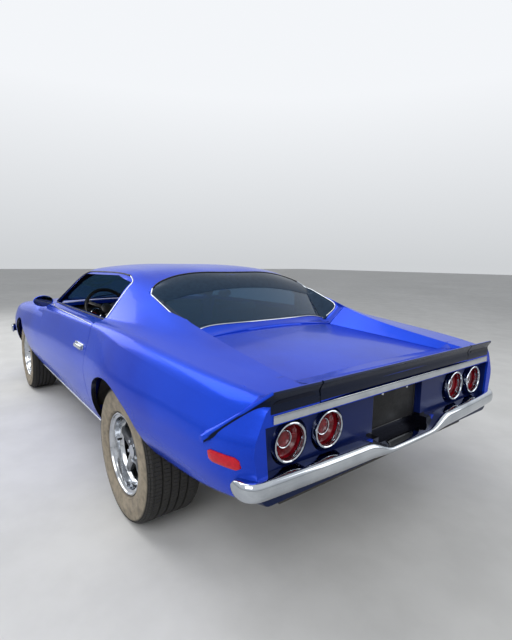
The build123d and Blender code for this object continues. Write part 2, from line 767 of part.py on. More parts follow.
with BuildPart() as knuckle:
    block(front_axle_x - knuckle_half, front_axle_x + knuckle_half, steer_y - knuckle_half,
          steer_y + knuckle_half, arm_low_z + arm_wall + knuckle_gap, arm_high_z - knuckle_gap)
    post(front_axle_x, steer_y, ball_r - running_gap, arm_low_z, arm_high_z + arm_wall)
    drum(front_axle_x, front_tyre_r, bore_r - running_gap, steer_y,
         wheel_face_y - lip_inset - spoke_set_back)
    drum(front_axle_x, front_tyre_r, disc_r, steer_y + knuckle_half,
         steer_y + knuckle_half + disc_wall)
write_pair("knuckle", knuckle.part)

# Rear axle on its two leaf springs
with BuildPart() as rear_axle:
    drum(rear_axle_x, rear_tyre_r, axle_r, -stub_inner_y, stub_inner_y)
    drum(rear_axle_x, rear_tyre_r, diff_r, -diff_half, diff_half)
    for s in (-1, 1):
        y0, y1 = sorted((0, s * (wheel_face_y - lip_inset - spoke_set_back)))
        drum(rear_axle_x, rear_tyre_r, bore_r - running_gap, y0, y1)
        y0, y1 = sorted((s * stub_inner_y, s * (stub_inner_y + disc_wall)))
        drum(rear_axle_x, rear_tyre_r, drum_r, y0, y1)
        with BuildSketch(Plane.XZ.offset(-s * spring_y)):
            with BuildLine():
                ThreePointArc(SPRING[0], SPRING[1], SPRING[2])
                Line(SPRING[2], (SPRING[2][0], SPRING[2][1] - spring_wall))
                ThreePointArc((SPRING[2][0], SPRING[2][1] - spring_wall),
                              (SPRING[1][0], SPRING[1][1] - spring_wall),
                              (SPRING[0][0], SPRING[0][1] - spring_wall))
                Line((SPRING[0][0], SPRING[0][1] - spring_wall), SPRING[0])
            make_face()
        extrude(amount=spring_width / 2, both=True)
        y0, y1 = s * spring_y - spring_width / 2, s * spring_y + spring_width / 2
        for (x, z), top_z in ((SPRING[0], FLOOR[0][1]), (SPRING[2], FLOOR[-1][1])):
            block(x - spring_wall, x + spring_wall, y0, y1, z - spring_wall, top_z)
    add(floor_pan.part, mode=Mode.SUBTRACT)
write("rear_axle", rear_axle.part)

with BuildPart() as fuel_tank:
    block(*tank)
write("fuel_tank", fuel_tank.part)

# Twin exhaust: pipes beside the tunnel with their silencers
with BuildPart() as exhaust:
    for s in (-1, 1):
        pipe(s * exhaust_y, exhaust_z, exhaust_r, exhaust_rear_x, exhaust_front_x)
        pipe(s * exhaust_y, exhaust_z, silencer_r, silencer_rear_x, silencer_front_x)
write("exhaust", exhaust.part)

# Cabin
with BuildPart() as dashboard:
    side(DASH, -sill_inner_y, sill_inner_y)
write("dashboard", dashboard.part)
with BuildPart() as front_seats:
    for y in (-seat_y, seat_y):
        side(SEAT, y - seat_half, y + seat_half)
write("front_seats", front_seats.part)
with BuildPart() as rear_seat:
    side(REAR_SEAT, -rear_seat_half, rear_seat_half)
    add(floor_pan.part, mode=Mode.SUBTRACT)
write("rear_seat", largest(rear_seat.part))
with BuildPart() as parcel_shelf:
    add(rear_form.part)
    block(lid_front_x + panel_gap, glass_bottom_x, -lid_front_half, lid_front_half,
          sail_floor_z, far, Mode.INTERSECT)
    add(rear_lowered, mode=Mode.SUBTRACT)
    side(SHELF, -lid_front_half, lid_front_half)
    block(lid_front_x + panel_gap, lid_front_x + 3 * panel_gap, -lid_front_half,
          lid_front_half, SHELF[1][1], SHELF[1][1] + lid_wall)
write("parcel_shelf", parcel_shelf.part)
wheel_plane = Plane(origin=(steering_x, seat_y, steering_z), x_dir=(0, 1, 0),
                    z_dir=(-math.sin(math.radians(steering_tilt)), 0,
                           math.cos(math.radians(steering_tilt))))
with BuildPart() as steering_wheel:
    with BuildSketch(wheel_plane):
        Circle(steering_r)
        Circle(steering_r - 2 * steering_bar, mode=Mode.SUBTRACT)
        Rectangle(2 * (steering_r - steering_bar), 3 * steering_bar)
    extrude(amount=steering_bar, both=True)
    with BuildSketch(wheel_plane):
        Circle(2 * steering_bar)
    extrude(amount=-column_length)
    add(dashboard.part, mode=Mode.SUBTRACT)
write("steering_wheel", steering_wheel.part)

# Wheels
def rim(axle_x, axle_z, tyre_w):
    """Left wheel without its tyre: barrel, lips, spokes and hub."""
    outer_y = wheel_face_y - lip_inset
    inner_y = wheel_face_y - tyre_w + lip_inset
    spoke_y = outer_y - spoke_set_back
    with BuildPart() as form:
        drum(axle_x, axle_z, rim_r, inner_y, outer_y)
        for y in (inner_y, outer_y - rim_lip):
            drum(axle_x, axle_z, rim_lip_r, y, y + rim_lip)
        drum(axle_x, axle_z, rim_r - rim_wall, inner_y, spoke_y - spoke_depth, Mode.SUBTRACT)
        drum(axle_x, axle_z, rim_r - rim_wall, spoke_y, outer_y, Mode.SUBTRACT)
        with BuildSketch(Plane(origin=(axle_x, spoke_y, axle_z), x_dir=(1, 0, 0),
                               z_dir=(0, -1, 0))):
            Circle(rim_r - rim_wall)
            Circle(hub_r, mode=Mode.SUBTRACT)
            with PolarLocations(0, spoke_count, start_angle=90):
                with Locations((rim_r / 2, 0)):
                    Rectangle(rim_r, spoke_width, mode=Mode.SUBTRACT)
        extrude(amount=spoke_depth, mode=Mode.SUBTRACT)
        drum(axle_x, axle_z, hub_r, spoke_y - hub_length, spoke_y + cap_wall)
        drum(axle_x, axle_z, bore_r, spoke_y - hub_length, spoke_y, Mode.SUBTRACT)
    return form.part


def tyre(axle_x, axle_z, r, w):
    """Left tyre, round the barrel and between its lips."""
    mid_y = wheel_face_y - w / 2
    bead = w / 2 - lip_inset - rim_lip
    bead_r = rim_lip_r + bead_rise
    wall = [(bead_r + share * (r - bead_r), w / 2 - inward) for share, inward in TYRE_WALL]
    half = [(rim_r, bead), (bead_r, bead)] + wall
    with BuildPart() as form:
        with BuildSketch(Plane(origin=(axle_x, mid_y, axle_z), x_dir=(1, 0, 0),
                               z_dir=(0, 0, 1))):
            with BuildLine():
                Polyline(*half, *[(radius, -y) for radius, y in reversed(half)], close=True)
            make_face()
        revolve(axis=Axis((axle_x, mid_y, axle_z), (0, 1, 0)))
    return form.part


for place, axle_x, r, w in (("front", front_axle_x, front_tyre_r, front_tyre_w),
                            ("rear", rear_axle_x, rear_tyre_r, rear_tyre_w)):
    write_pair(f"rim_{place}", rim(axle_x, r, w))
    write_pair(f"tyre_{place}", tyre(axle_x, r, r, w))
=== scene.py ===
import math
import bmesh
import bpy
from mathutils import Matrix, Vector
from mathutils.bvhtree import BVHTree


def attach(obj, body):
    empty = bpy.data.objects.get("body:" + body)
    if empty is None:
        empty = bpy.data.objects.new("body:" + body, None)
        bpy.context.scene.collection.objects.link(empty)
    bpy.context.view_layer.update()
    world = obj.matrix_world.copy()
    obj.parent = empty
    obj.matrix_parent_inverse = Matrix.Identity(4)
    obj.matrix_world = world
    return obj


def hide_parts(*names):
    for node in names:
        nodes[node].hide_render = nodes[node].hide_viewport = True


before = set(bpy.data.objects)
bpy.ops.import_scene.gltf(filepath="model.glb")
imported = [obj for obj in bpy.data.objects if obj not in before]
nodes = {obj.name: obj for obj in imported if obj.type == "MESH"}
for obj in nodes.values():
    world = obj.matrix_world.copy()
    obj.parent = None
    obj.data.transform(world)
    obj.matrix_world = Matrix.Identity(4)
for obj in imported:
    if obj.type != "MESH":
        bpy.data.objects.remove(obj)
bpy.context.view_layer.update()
SIDES = (("left", 1), ("right", -1))

# Sizes in metres that the pieces share, in the car's own frame: +X ahead, +Y left, +Z up
LAMP_YS = (-0.631, -0.446, 0.446, 0.631)
LAMP_SPREAD = 1.018
LAMP_Z = 0.719
# Columns: place, axle x, axle height, tyre width, radius of the arch's dark inside
WHEELS = (("front", 1.4325, 0.3325, 0.235, 0.3768), ("rear", -1.3105, 0.345, 0.285, 0.3828))
WHEEL_FACE_Y = 0.872
GAP = 0.007


# Finishes

def fed(socket, value):
    """Sets a socket to a number or a colour, or links another node's value to it."""
    if isinstance(value, bpy.types.NodeSocket):
        socket.id_data.links.new(value, socket)
    else:
        socket.default_value = (*value, 1) if isinstance(value, tuple) else value


def put(material, socket, value):
    """Feeds a value into the material's shader."""
    fed(material.node_tree.nodes["Principled BSDF"].inputs[socket], value)


def finish(name, colour, metallic=0.0, roughness=0.5, **sockets):
    """New material with its plain values on the shader's own sockets."""
    material = bpy.data.materials.new(name)
    material.use_nodes = True
    sockets.update(Base_Color=colour, Metallic=metallic, Roughness=roughness)
    for socket, value in sockets.items():
        put(material, socket.replace("_", " "), value)
    return material


def added(tree, kind, **sockets):
    """New node of a tree, with its sockets fed."""
    node = tree.nodes.new(f"ShaderNode{kind}")
    for socket, value in sockets.items():
        fed(node.inputs[socket.replace("_", " ")], value)
    return node


def place(material, kind="Object"):
    """A material's coordinates on the object, or the way its surface faces there."""
    tree = material.node_tree
    return (tree.nodes.get("Texture Coordinate") or added(tree, "TexCoord")).outputs[kind]


def axes(material, kind="Object"):
    """The coordinates' x, y and z."""
    return added(material.node_tree, "SeparateXYZ", Vector=place(material, kind)).outputs


def noise(material, scale, detail=4.0, roughness=0.55):
    """Cloudy pattern on the object's own coordinates."""
    return added(material.node_tree, "TexNoise", Scale=scale, Detail=detail, Roughness=roughness,
                 Vector=place(material)).outputs["Fac"]


def levels(value, low, high, out_low=0.0, out_high=1.0, smooth=True):
    """Value mapped from one span to another, kept inside the second."""
    node = added(value.id_data, "MapRange", Value=value, From_Min=low, From_Max=high, To_Min=out_low,
                 To_Max=out_high)
    node.interpolation_type = "SMOOTHSTEP" if smooth else "LINEAR"
    return node.outputs["Result"]


def maths(operation, first, second=0.0, *more):
    """One sum on two or more values, the first of them a socket."""
    node = added(first.id_data, "Math")
    node.operation = operation
    fed(node.inputs[0], first)
    fed(node.inputs[1], second)
    return maths(operation, node.outputs[0], *more) if more else node.outputs[0]


def blend_colours(factor, first, second):
    """Two colours, each a triple or a socket, mixed by a factor."""
    node = added(factor.id_data, "Mix")
    node.data_type = "RGBA"
    for index, value in ((0, factor), (6, first), (7, second)):
        fed(node.inputs[index], value)
    return node.outputs[2]


def bump(material, height, strength, distance):
    """Fine relief of the surface."""
    node = added(height.id_data, "Bump", Strength=strength, Distance=distance, Height=height)
    put(material, "Normal", node.outputs["Normal"])


def between(value, low, high, soft=0.0008):
    """1 where a value lies between two limits, 0 elsewhere."""
    return maths("MULTIPLY", levels(value, low - soft, low + soft),
                 levels(value, high - soft, high + soft, 1.0, 0.0))


PAINT_DEEP = (0.004, 0.028, 0.4)
PAINT_BRIGHT = (0.012, 0.085, 0.82)
PAINT_METAL = 0.45
PAINT_COAT = 0.32
ROAD_DUST = (0.16, 0.13, 0.09)
ARCH_BLACK = (0.012, 0.012, 0.013)
ARCH_LIFT = 0.018
ARCH_EDGE = 0.0006
CABIN_DARK = (0.01, 0.011, 0.016)
CABIN_FOOT_Z = 0.955
CABIN_REAR_X = -1.03


def paint(name):
    """Metallic blue under clear coat: flake, faint cloud, road dust, dark arches and dark cabin faces."""
    # Specular Tint turns the coat's reflections blue: a painted reflection of a blue sky.
    material = finish(name, PAINT_BRIGHT, PAINT_METAL, 0.3, Coat_Weight=PAINT_COAT, Coat_Roughness=0.08,
                      Coat_IOR=1.32, Specular_IOR_Level=0.25, Specular_Tint=(0.32, 0.46, 1.0))
    flake = levels(noise(material, 900.0, 2.0), 0.42, 0.62)
    cloud = levels(noise(material, 1.4, 3.0), 0.35, 0.65)
    amount = maths("ADD", maths("MULTIPLY", flake, 0.45), maths("MULTIPLY", cloud, 0.35))
    colour = blend_colours(amount, PAINT_DEEP, PAINT_BRIGHT)
    along, across, height = axes(material)
    low = levels(height, 0.28, 0.52, 1.0, 0.0)
    dirt = maths("MULTIPLY", low, levels(noise(material, 14.0, 8.0), 0.4, 0.7), 0.35)
    colour = blend_colours(dirt, colour, ROAD_DUST)
    for _, axle_x, axle_z, _, reach in WHEELS:
        away = maths("POWER", maths("SUBTRACT", along, axle_x), 2.0)
        down = maths("POWER", maths("SUBTRACT", height, axle_z + ARCH_LIFT), 2.0)
        inside = levels(maths("ADD", away, down), (reach - ARCH_EDGE) ** 2, reach ** 2, 1.0, 0.0)
        colour = blend_colours(inside, colour, ARCH_BLACK)
    _, sideways, upward = axes(material, "Normal")
    inward = maths("MULTIPLY", sideways, maths("SIGN", across))
    inside = maths("MAXIMUM", levels(upward, -0.45, -0.3, 1.0, 0.0), levels(inward, -0.45, -0.3, 1.0, 0.0))
    inside = maths("MULTIPLY", inside, levels(height, CABIN_FOOT_Z, CABIN_FOOT_Z + 0.007),
                   levels(along, CABIN_REAR_X, CABIN_REAR_X + 0.015))
    put(material, "Base Color", blend_colours(inside, colour, CABIN_DARK))
    put(material, "Roughness", maths("ADD", maths("MULTIPLY", dirt, 0.4), 0.27))
    return material


def grained(name, dark, light, scale, roughness, relief, metallic=0.0, **sockets):
    """Two shades mixed by a fine grain, with relief and gloss that follow it."""
    material = finish(name, light, metallic, roughness, **sockets)
    grain = noise(material, scale, 6.0)
    put(material, "Base Color", blend_colours(levels(grain, 0.3, 0.7), dark, light))
    put(material, "Roughness", levels(noise(material, scale / 9, 4.0), 0.3, 0.7,
                                      roughness * 0.85, min(1.0, roughness * 1.15)))
    if relief:
        bump(material, grain, 0.5, relief)
    return material


blue = paint("blue_paint")
chrome = grained("bright_chrome", (0.42, 0.45, 0.49), (0.54, 0.57, 0.61), 9.0, 0.06, 0.0, 1.0)
black_gloss = grained("gloss_black", (0.004, 0.004, 0.005), (0.01, 0.01, 0.012), 60.0, 0.18, 0.0,
                      Specular_IOR_Level=0.3)
satin_black = grained("satin_black", (0.006, 0.006, 0.007), (0.014, 0.014, 0.015), 220.0, 0.5, 0.0002,
                      Specular_IOR_Level=0.2)
chassis = grained("chassis_black", (0.018, 0.016, 0.014), (0.045, 0.041, 0.036), 30.0, 0.7, 0.0008)
steel = grained("dull_steel", (0.2, 0.18, 0.16), (0.38, 0.36, 0.34), 40.0, 0.45, 0.0004, 0.9)
vinyl = grained("black_vinyl", (0.01, 0.01, 0.011), (0.03, 0.029, 0.028), 380.0, 0.42, 0.0006)
cabin_plastic = grained("cabin_plastic", (0.012, 0.012, 0.012), (0.028, 0.027, 0.026), 300.0, 0.6, 0.0004)
polished = grained("polished_lip", (0.4, 0.42, 0.45), (0.56, 0.58, 0.61), 24.0, 0.13, 0.0, 1.0)
spoke_grey = grained("spoke_grey", (0.06, 0.064, 0.072), (0.11, 0.115, 0.125), 320.0, 0.42, 0.0002, 0.5)
# Specular Tint turns the glass's reflections blue: a painted reflection of a blue sky.
glass = finish("tinted_glass", (0.05, 0.13, 0.24), 0.0, 0.02, Transmission_Weight=0.88, IOR=1.42,
               Specular_Tint=(0.3, 0.62, 1.0))
put(glass, "Roughness", levels(noise(glass, 5.0, 4.0), 0.35, 0.75, 0.01, 0.05))
red_lens = finish("red_lens", (0.2, 0.004, 0.008), 0.0, 0.16, Coat_Weight=0.25, Coat_Roughness=0.05,
                  Specular_IOR_Level=0.3)
put(red_lens, "Base Color", blend_colours(levels(noise(red_lens, 30.0), 0.3, 0.7),
                                          (0.1, 0.002, 0.006), (0.26, 0.005, 0.012)))

marker_red = grained("marker_red", (0.46, 0.003, 0.014), (0.58, 0.004, 0.02), 60.0, 0.18, 0.0,
                     Specular_IOR_Level=0.3)
marker_amber = grained("marker_amber", (0.6, 0.16, 0.004), (0.8, 0.24, 0.008), 60.0, 0.16, 0.0,
                       Coat_Weight=0.6)
# Specular Tint turns the band's reflections blue like the glass's: a painted reflection of a blue sky.
glass_band = grained("glass_band", (0.01, 0.022, 0.042), (0.014, 0.03, 0.055), 40.0, 0.16, 0.0,
                     Specular_IOR_Level=0.2, Specular_Tint=(0.4, 0.66, 1.0))
dark_mirror = grained("mirror_glass", (0.1, 0.11, 0.12), (0.16, 0.17, 0.18), 4.0, 0.04, 0.0, 1.0)
lamp_glass = finish("lamp_glass", (0.94, 0.96, 0.97), 0.0, 0.02, Transmission_Weight=0.95, IOR=1.35)
bump(lamp_glass, noise(lamp_glass, 120.0, 2.0), 0.3, 0.0006)
dial_white = grained("dial_marks", (0.6, 0.6, 0.56), (0.78, 0.78, 0.74), 200.0, 0.5, 0.0)
dial_red = grained("needle_red", (0.5, 0.04, 0.01), (0.7, 0.06, 0.02), 200.0, 0.5, 0.0)

CAD_FINISHES = {
    "body_paint": blue, "chrome": chrome, "lamp_red": chrome, "lamp_marker": red_lens,
    "lamp_clear": chrome, "grille_black": satin_black, "glass": glass, "underbody": chassis,
    "tank_steel": steel, "seat_trim": vinyl, "cabin_plastic": cabin_plastic,
    "tyre_rubber": satin_black, "wheel_alloy": spoke_grey,
}
for node in nodes.values():
    for held in node.material_slots:
        held.material = CAD_FINISHES.get(held.material.name, chassis)


# Making pieces

def linked(name, data):
    """New object in the scene."""
    piece = bpy.data.objects.new(name, data)
    bpy.context.scene.collection.objects.link(piece)
    return piece


def rounded(bm, edges, width, segments):
    """Bevels edges."""
    return bmesh.ops.bevel(bm, geom=edges, offset=width, offset_type="OFFSET", segments=segments, profile=0.5,
                           affect="EDGES", clamp_overlap=True, material=-1)


def turned(bm, verts, degrees, axis, to=(0, 0, 0)):
    """Turns points about an axis through the origin, then shifts them."""
    bmesh.ops.rotate(bm, cent=(0, 0, 0), matrix=Matrix.Rotation(math.radians(degrees), 3, axis), verts=verts)
    bmesh.ops.translate(bm, vec=to, verts=verts)


def settle(bm, name, body, materials, angle=35.0, replaces=(), turn=True):
    """Finished mesh as a piece of the car that rides on a body."""
    if turn:
        bmesh.ops.recalc_face_normals(bm, faces=bm.faces)
    data = bpy.data.meshes.new(name)
    bm.to_mesh(data)
    bm.free()
    for material in materials if isinstance(materials, (list, tuple)) else (materials,):
        data.materials.append(material)
    data.shade_smooth()
    data.set_sharp_from_angle(angle=math.radians(angle))
    piece = linked(name, data)
    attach(piece, body)
    if replaces:
        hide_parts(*replaces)
    return piece


def lathe(bm, profile, centre, axis, steps=64, closed=False, material=0):
    """Spins a profile of (radius, along) pairs round an axis through a point."""
    along = Vector(axis)
    out = Vector((0, 0, 1)) if abs(along.z) < 0.5 else Vector((1, 0, 0))
    ring = [bm.verts.new(Vector(centre) + out * radius + along * reach) for radius, reach in profile]
    pairs = list(zip(ring, ring[1:])) + ([(ring[-1], ring[0])] if closed else [])
    edges = [bm.edges.new(pair) for pair in pairs]
    before = set(bm.faces)
    bmesh.ops.spin(bm, geom=ring + edges, cent=centre, axis=axis, angle=2 * math.pi, steps=steps,
                   use_merge=True, use_duplicate=False)
    made = [face for face in bm.faces if face not in before]
    for face in made:
        face.material_index = material
    verts = list({vert for face in made for vert in face.verts})
    bmesh.ops.remove_doubles(bm, verts=verts, dist=1e-6)
    return [face for face in bm.faces if face not in before]


def lathes(bm, centre, axis, *parts):
    """Spins several profiles round one axis. Columns of a part: steps, material, profile."""
    for steps, material, profile in parts:
        lathe(bm, profile, centre, axis, steps, material=material)


def bridged(bm, rows, closed=True, capped=False):
    """Lines of points, each bridged to the next. Capped ones get a face at both ends."""
    rings = []
    for row in rows:
        verts = [bm.verts.new(point) for point in row]
        rings.append([bm.edges.new((verts[i - 1], verts[i])) for i in range(0 if closed else 1, len(verts))])
    for first, second in zip(rings, rings[1:]):
        bmesh.ops.bridge_loops(bm, edges=first + second)
    for ring in (rings[0], rings[-1]) if capped else ():
        bmesh.ops.contextual_create(bm, geom=ring)


def brick(bm, low, high, width=0.0, segments=2, material=0):
    """Block between two corners, its edges rounded."""
    low, high = Vector(low), Vector(high)
    made = bmesh.ops.create_cube(bm, size=1.0)["verts"]
    bmesh.ops.scale(bm, vec=high - low, verts=made)
    bmesh.ops.translate(bm, vec=(low + high) / 2, verts=made)
    faces = list({face for vert in made for face in vert.link_faces})
    for face in faces:
        face.material_index = material
    if width:
        edges = list({edge for vert in made for edge in vert.link_edges})
        made = list({vert for face in rounded(bm, edges, width, segments)["faces"] for vert in face.verts}
                    | {vert for vert in made if vert.is_valid})
    return made


def mirrored(bm, side):
    """Turns a left piece into a right one."""
    if side < 0:
        bmesh.ops.scale(bm, vec=(1, -1, 1), verts=bm.verts)
        bmesh.ops.reverse_faces(bm, faces=bm.faces)


MERGE = 2e-5
SHARP_ANGLE = 28.0


def softened(node, name, width, material):
    """Copy of a CAD node of the body with its sharp edges rounded, which stands for it."""
    bm = bmesh.new()
    bm.from_mesh(nodes[node].data)
    bmesh.ops.remove_doubles(bm, verts=bm.verts, dist=MERGE)
    bmesh.ops.dissolve_limit(bm, angle_limit=math.radians(1.5), verts=bm.verts, edges=bm.edges,
                             delimit={"NORMAL"})
    sharp = [edge for edge in bm.edges
             if len(edge.link_faces) == 2 and edge.calc_face_angle(0) > math.radians(SHARP_ANGLE)]
    rounded(bm, sharp, width, 3)
    for face in bm.faces:
        face.material_index = 0
    return settle(bm, name, "body", material, replaces=(node,), turn=False)


PAINTED = [name for name, node in nodes.items()
           if any(held.name.startswith("blue_paint") for held in node.data.materials)]


def surface(names):
    """Joined surface of several CAD nodes, for rays to hit."""
    bm = bmesh.new()
    for name in names:
        bm.from_mesh(nodes[name].data)
    joined = BVHTree.FromBMesh(bm)
    bm.free()
    return joined


def below(sheet, x, y):
    """First point of a surface straight down from above the car."""
    return sheet.ray_cast(Vector((x, y, 3)), Vector((0, 0, -1)))[0]


skin = surface(PAINTED)


def on_side(x, z, proud=0.0):
    """Point of the left side's skin at that x and z."""
    hit = skin.ray_cast(Vector((x, 3, z)), Vector((0, -1, 0)))[0]
    return Vector((x, hit.y + proud, z)) if hit else None


def on_top(x, y, proud=0.0):
    """Point of the upper skin at that x and y."""
    hit = below(skin, x, y)
    return Vector((x, y, hit.z + proud)) if hit else None


def bead(name, points, radius, body="body", material=chrome, slot="chrome", side=1, cyclic=False):
    """Thin round strip along a line of points."""
    points = [Vector((p[0], p[1] * side, p[2])) for p in points if p is not None]
    curve = bpy.data.curves.new(name, "CURVE")
    curve.dimensions = "3D"
    curve.bevel_depth = radius
    curve.bevel_resolution = 3
    curve.use_fill_caps = True
    line = curve.splines.new("NURBS")
    line.points.add(len(points) - 1)
    for spot, point in zip(line.points, points):
        spot.co = (*point, 1)
    line.order_u = 3
    line.use_endpoint_u = not cyclic
    line.use_cyclic_u = cyclic
    curve.resolution_u = 6
    curve.materials.append(material)
    piece = linked(name, curve)
    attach(piece, body)
    return piece


def steps_between(first, last, count):
    """Evenly spaced numbers, both ends among them."""
    return [first + (last - first) * i / (count - 1) for i in range(count)]


# Wheels
TREAD_STEPS = 108
RIBS = 5
GROOVE = 0.009
CROWN = 0.0045
RIM_EDGE_R = 0.206
FRONT_TYRE_R = WHEELS[0][2]


def tyre(name, body, node, x, z, width, side):
    """Ribbed tyre with sidewall rings. The wear attribute is 1 on the walls, for their dust."""
    middle = WHEEL_FACE_Y - width / 2
    wall = [(0.199, 0.031), (0.207, 0.024), (0.216, 0.0105), (0.2185, 0.0075), (0.222, 0.0085),
            (0.24, 0.0035), (0.262, 0.0008), (0.264, 0.0), (0.27, 0.0002), (0.273, 0.0015)]
    scale_up = (z - RIM_EDGE_R) / (FRONT_TYRE_R - RIM_EDGE_R)
    wall = [(RIM_EDGE_R + (radius - RIM_EDGE_R) * scale_up, inward) for radius, inward in wall]
    wall += [(z - 0.03, 0.005), (z - 0.02, 0.01), (z - 0.0185, 0.0105), (z - 0.011, 0.019),
             (z - 0.0035, 0.031)]
    tread_half = width / 2 - 0.036
    pitch = 2 * tread_half / RIBS
    half = [(radius, width / 2 - inward) for radius, inward in wall]
    tread = []
    for rib in range(RIBS):
        high = tread_half - rib * pitch
        low = high - pitch + (GROOVE if rib < RIBS - 1 else 0)
        tread += [(z - CROWN, high), (z - CROWN, low)]
        if rib < RIBS - 1:
            tread += [(z - 0.0125, low - 0.0012), (z - 0.0125, low - GROOVE + 0.0012)]
    profile = half + tread + [(radius, -reach) for radius, reach in reversed(half)]
    bm = bmesh.new()
    lathe(bm, profile, (x, middle, z), (0, 1, 0), TREAD_STEPS, closed=True)
    bm.faces.ensure_lookup_table()
    bmesh.ops.recalc_face_normals(bm, faces=bm.faces)

    def radius_of(point):
        return math.hypot(point.x - x, point.z - z)

    blocks = [face for face in bm.faces
              if all(abs(radius_of(v.co) - (z - CROWN)) < 2e-4 for v in face.verts)
              or (all(z - 0.021 < radius_of(v.co) < z - 0.002 for v in face.verts)
                  and abs(face.calc_center_median().y - middle) > tread_half)]
    bmesh.ops.inset_individual(bm, faces=blocks, thickness=0.0016, depth=0.0032,
                               use_even_offset=True)
    wear = bm.verts.layers.float.new("wear")
    for vert in bm.verts:
        away = abs(vert.co.y - middle)
        vert[wear] = 1.0 if away > tread_half + 0.012 and radius_of(vert.co) < z - 0.024 else 0.0
    mirrored(bm, side)
    return settle(bm, name, body, rubber, 25.0, (node,), turn=False)


def rim(name, body, node, x, z, width, side):
    """Five-spoke wheel: deep polished lip, grey spokes, bright cap and wheel nuts."""
    outer = WHEEL_FACE_Y - 0.015
    inner = WHEEL_FACE_Y - width + 0.015
    face = outer - 0.055
    bm = bmesh.new()
    shell = [(0.2065, outer - 0.0015), (0.2065, outer - 0.008), (0.194, outer - 0.012),
             (0.194, inner + 0.012), (0.2065, inner + 0.008), (0.2065, inner + 0.001),
             (0.199, inner), (0.183, inner + 0.006), (0.181, face - 0.034), (0.168, face - 0.03),
             (0.168, face - 0.012), (0.1755, face - 0.002), (0.1785, face + 0.01),
             (0.181, outer - 0.022), (0.1835, outer - 0.014), (0.196, outer - 0.008),
             (0.199, outer - 0.001), (0.203, outer)]
    lathe(bm, shell, (x, 0, z), (0, 1, 0), 96, closed=True, material=0)
    for i in range(5):
        spoke = brick(bm, (-0.026, face - 0.03, 0.04), (0.026, face, 0.176), 0.007, 3, material=1)
        for vert in spoke:
            share = (vert.co.z - 0.04) / 0.136
            vert.co.x *= 1.12 - 0.42 * share
            vert.co.y -= 0.01 * math.sin(math.pi * min(1, max(0, share))) - 0.002
        turned(bm, spoke, 72 * i, "Y", (x, 0, z))
    hub = [(0.0, face - 0.034), (0.066, face - 0.034), (0.07, face - 0.028), (0.07, face - 0.006),
           (0.066, face), (0.04, face + 0.002), (0.0, face + 0.002)]
    cap = [(0.032, face), (0.032, face + 0.01), (0.03, face + 0.0118), (0.012, face + 0.012),
           (0.0, face + 0.012)]
    lathes(bm, (x, 0, z), (0, 1, 0), (48, 1, hub), (40, 2, cap))
    nut = [(0.0105, face), (0.0105, face + 0.0075), (0.0085, face + 0.0112), (0.0, face + 0.0118)]
    for i in range(5):
        turn = math.radians(72 * i + 36)
        nut_at = (x + 0.051 * math.sin(turn), 0, z + 0.051 * math.cos(turn))
        lathe(bm, nut, nut_at, (0, 1, 0), 6, material=2)
    valve = [(0.004, face), (0.004, face + 0.016), (0.0028, face + 0.022), (0.0, face + 0.022)]
    lathe(bm, valve, (x + 0.172, 0, z), (0, 1, 0), 12, material=3)
    mirrored(bm, side)
    return settle(bm, name, body, [polished, spoke_grey, chrome, satin_black], 30.0,
                  (node,))


rubber = finish("tyre_rubber", (0.02, 0.02, 0.02), 0.0, 0.8)
wear_node = added(rubber.node_tree, "Attribute")
wear_node.attribute_name = "wear"
dust = maths("MULTIPLY", wear_node.outputs["Fac"],
             levels(noise(rubber, 22.0, 9.0, 0.65), 0.3, 0.66, 0.5, 0.95))
grit = levels(noise(rubber, 160.0, 4.0), 0.35, 0.65)
dark_rubber = blend_colours(grit, (0.012, 0.012, 0.012), (0.034, 0.032, 0.03))
put(rubber, "Base Color", blend_colours(dust, dark_rubber, (0.33, 0.28, 0.21)))
put(rubber, "Roughness", levels(grit, 0.0, 1.0, 0.72, 0.9))
bump(rubber, noise(rubber, 260.0, 5.0), 0.35, 0.0008)

for place_name, wheel_x, wheel_z, wheel_w, _ in WHEELS:
    for side_name, side in SIDES:
        label = f"{place_name}_{side_name}"
        tyre(f"ribbed_tyre_{label}", f"wheel_{label}", f"tyre_{label}", wheel_x, wheel_z, wheel_w, side)
        rim(f"spoked_rim_{label}", f"wheel_{label}", f"rim_{label}", wheel_x, wheel_z, wheel_w, side)

# Tail
BEZEL = [(0.0715, -2.276), (0.0715, -2.312), (0.0695, -2.3165), (0.066, -2.318),
         (0.0625, -2.316), (0.061, -2.3115), (0.0605, -2.295)]
DISH = [(0.0605, -2.295), (0.0595, -2.281)]
for ring_r in steps_between(0.057, 0.0345, 8):
    DISH += [(ring_r, -2.2785), (ring_r - 0.0016, -2.2765)]
DISH += [(0.032, -2.277)]
COLLAR = [(0.0325, -2.2765), (0.0325, -2.2825), (0.0308, -2.2842), (0.0285, -2.2828), (0.028, -2.278)]
EYE = [(0.028, -2.278), (0.024, -2.2795), (0.017, -2.281), (0.008, -2.282), (0.0, -2.2823)]
for index, lamp_y in enumerate(LAMP_YS):
    bm = bmesh.new()
    lathes(bm, (0, lamp_y * LAMP_SPREAD, LAMP_Z), (1, 0, 0),
           (72, 0, BEZEL), (72, 1, DISH), (48, 0, COLLAR), (48, 1, EYE))
    lamp = settle(bm, f"tail_lamp_{index + 1}", "body", [chrome, red_lens], 30.0)
    if index == 0:
        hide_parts("tail_lamps")


def bumper_z(y):
    """Middle height and size of the rear bumper's face: it dips under the number plate."""
    share = min(1.0, max(0.0, (abs(y) - 0.14) / 0.15))
    share = share * share * (3 - 2 * share)
    return 0.579 + 0.0285 * share, 0.38 + 0.62 * share


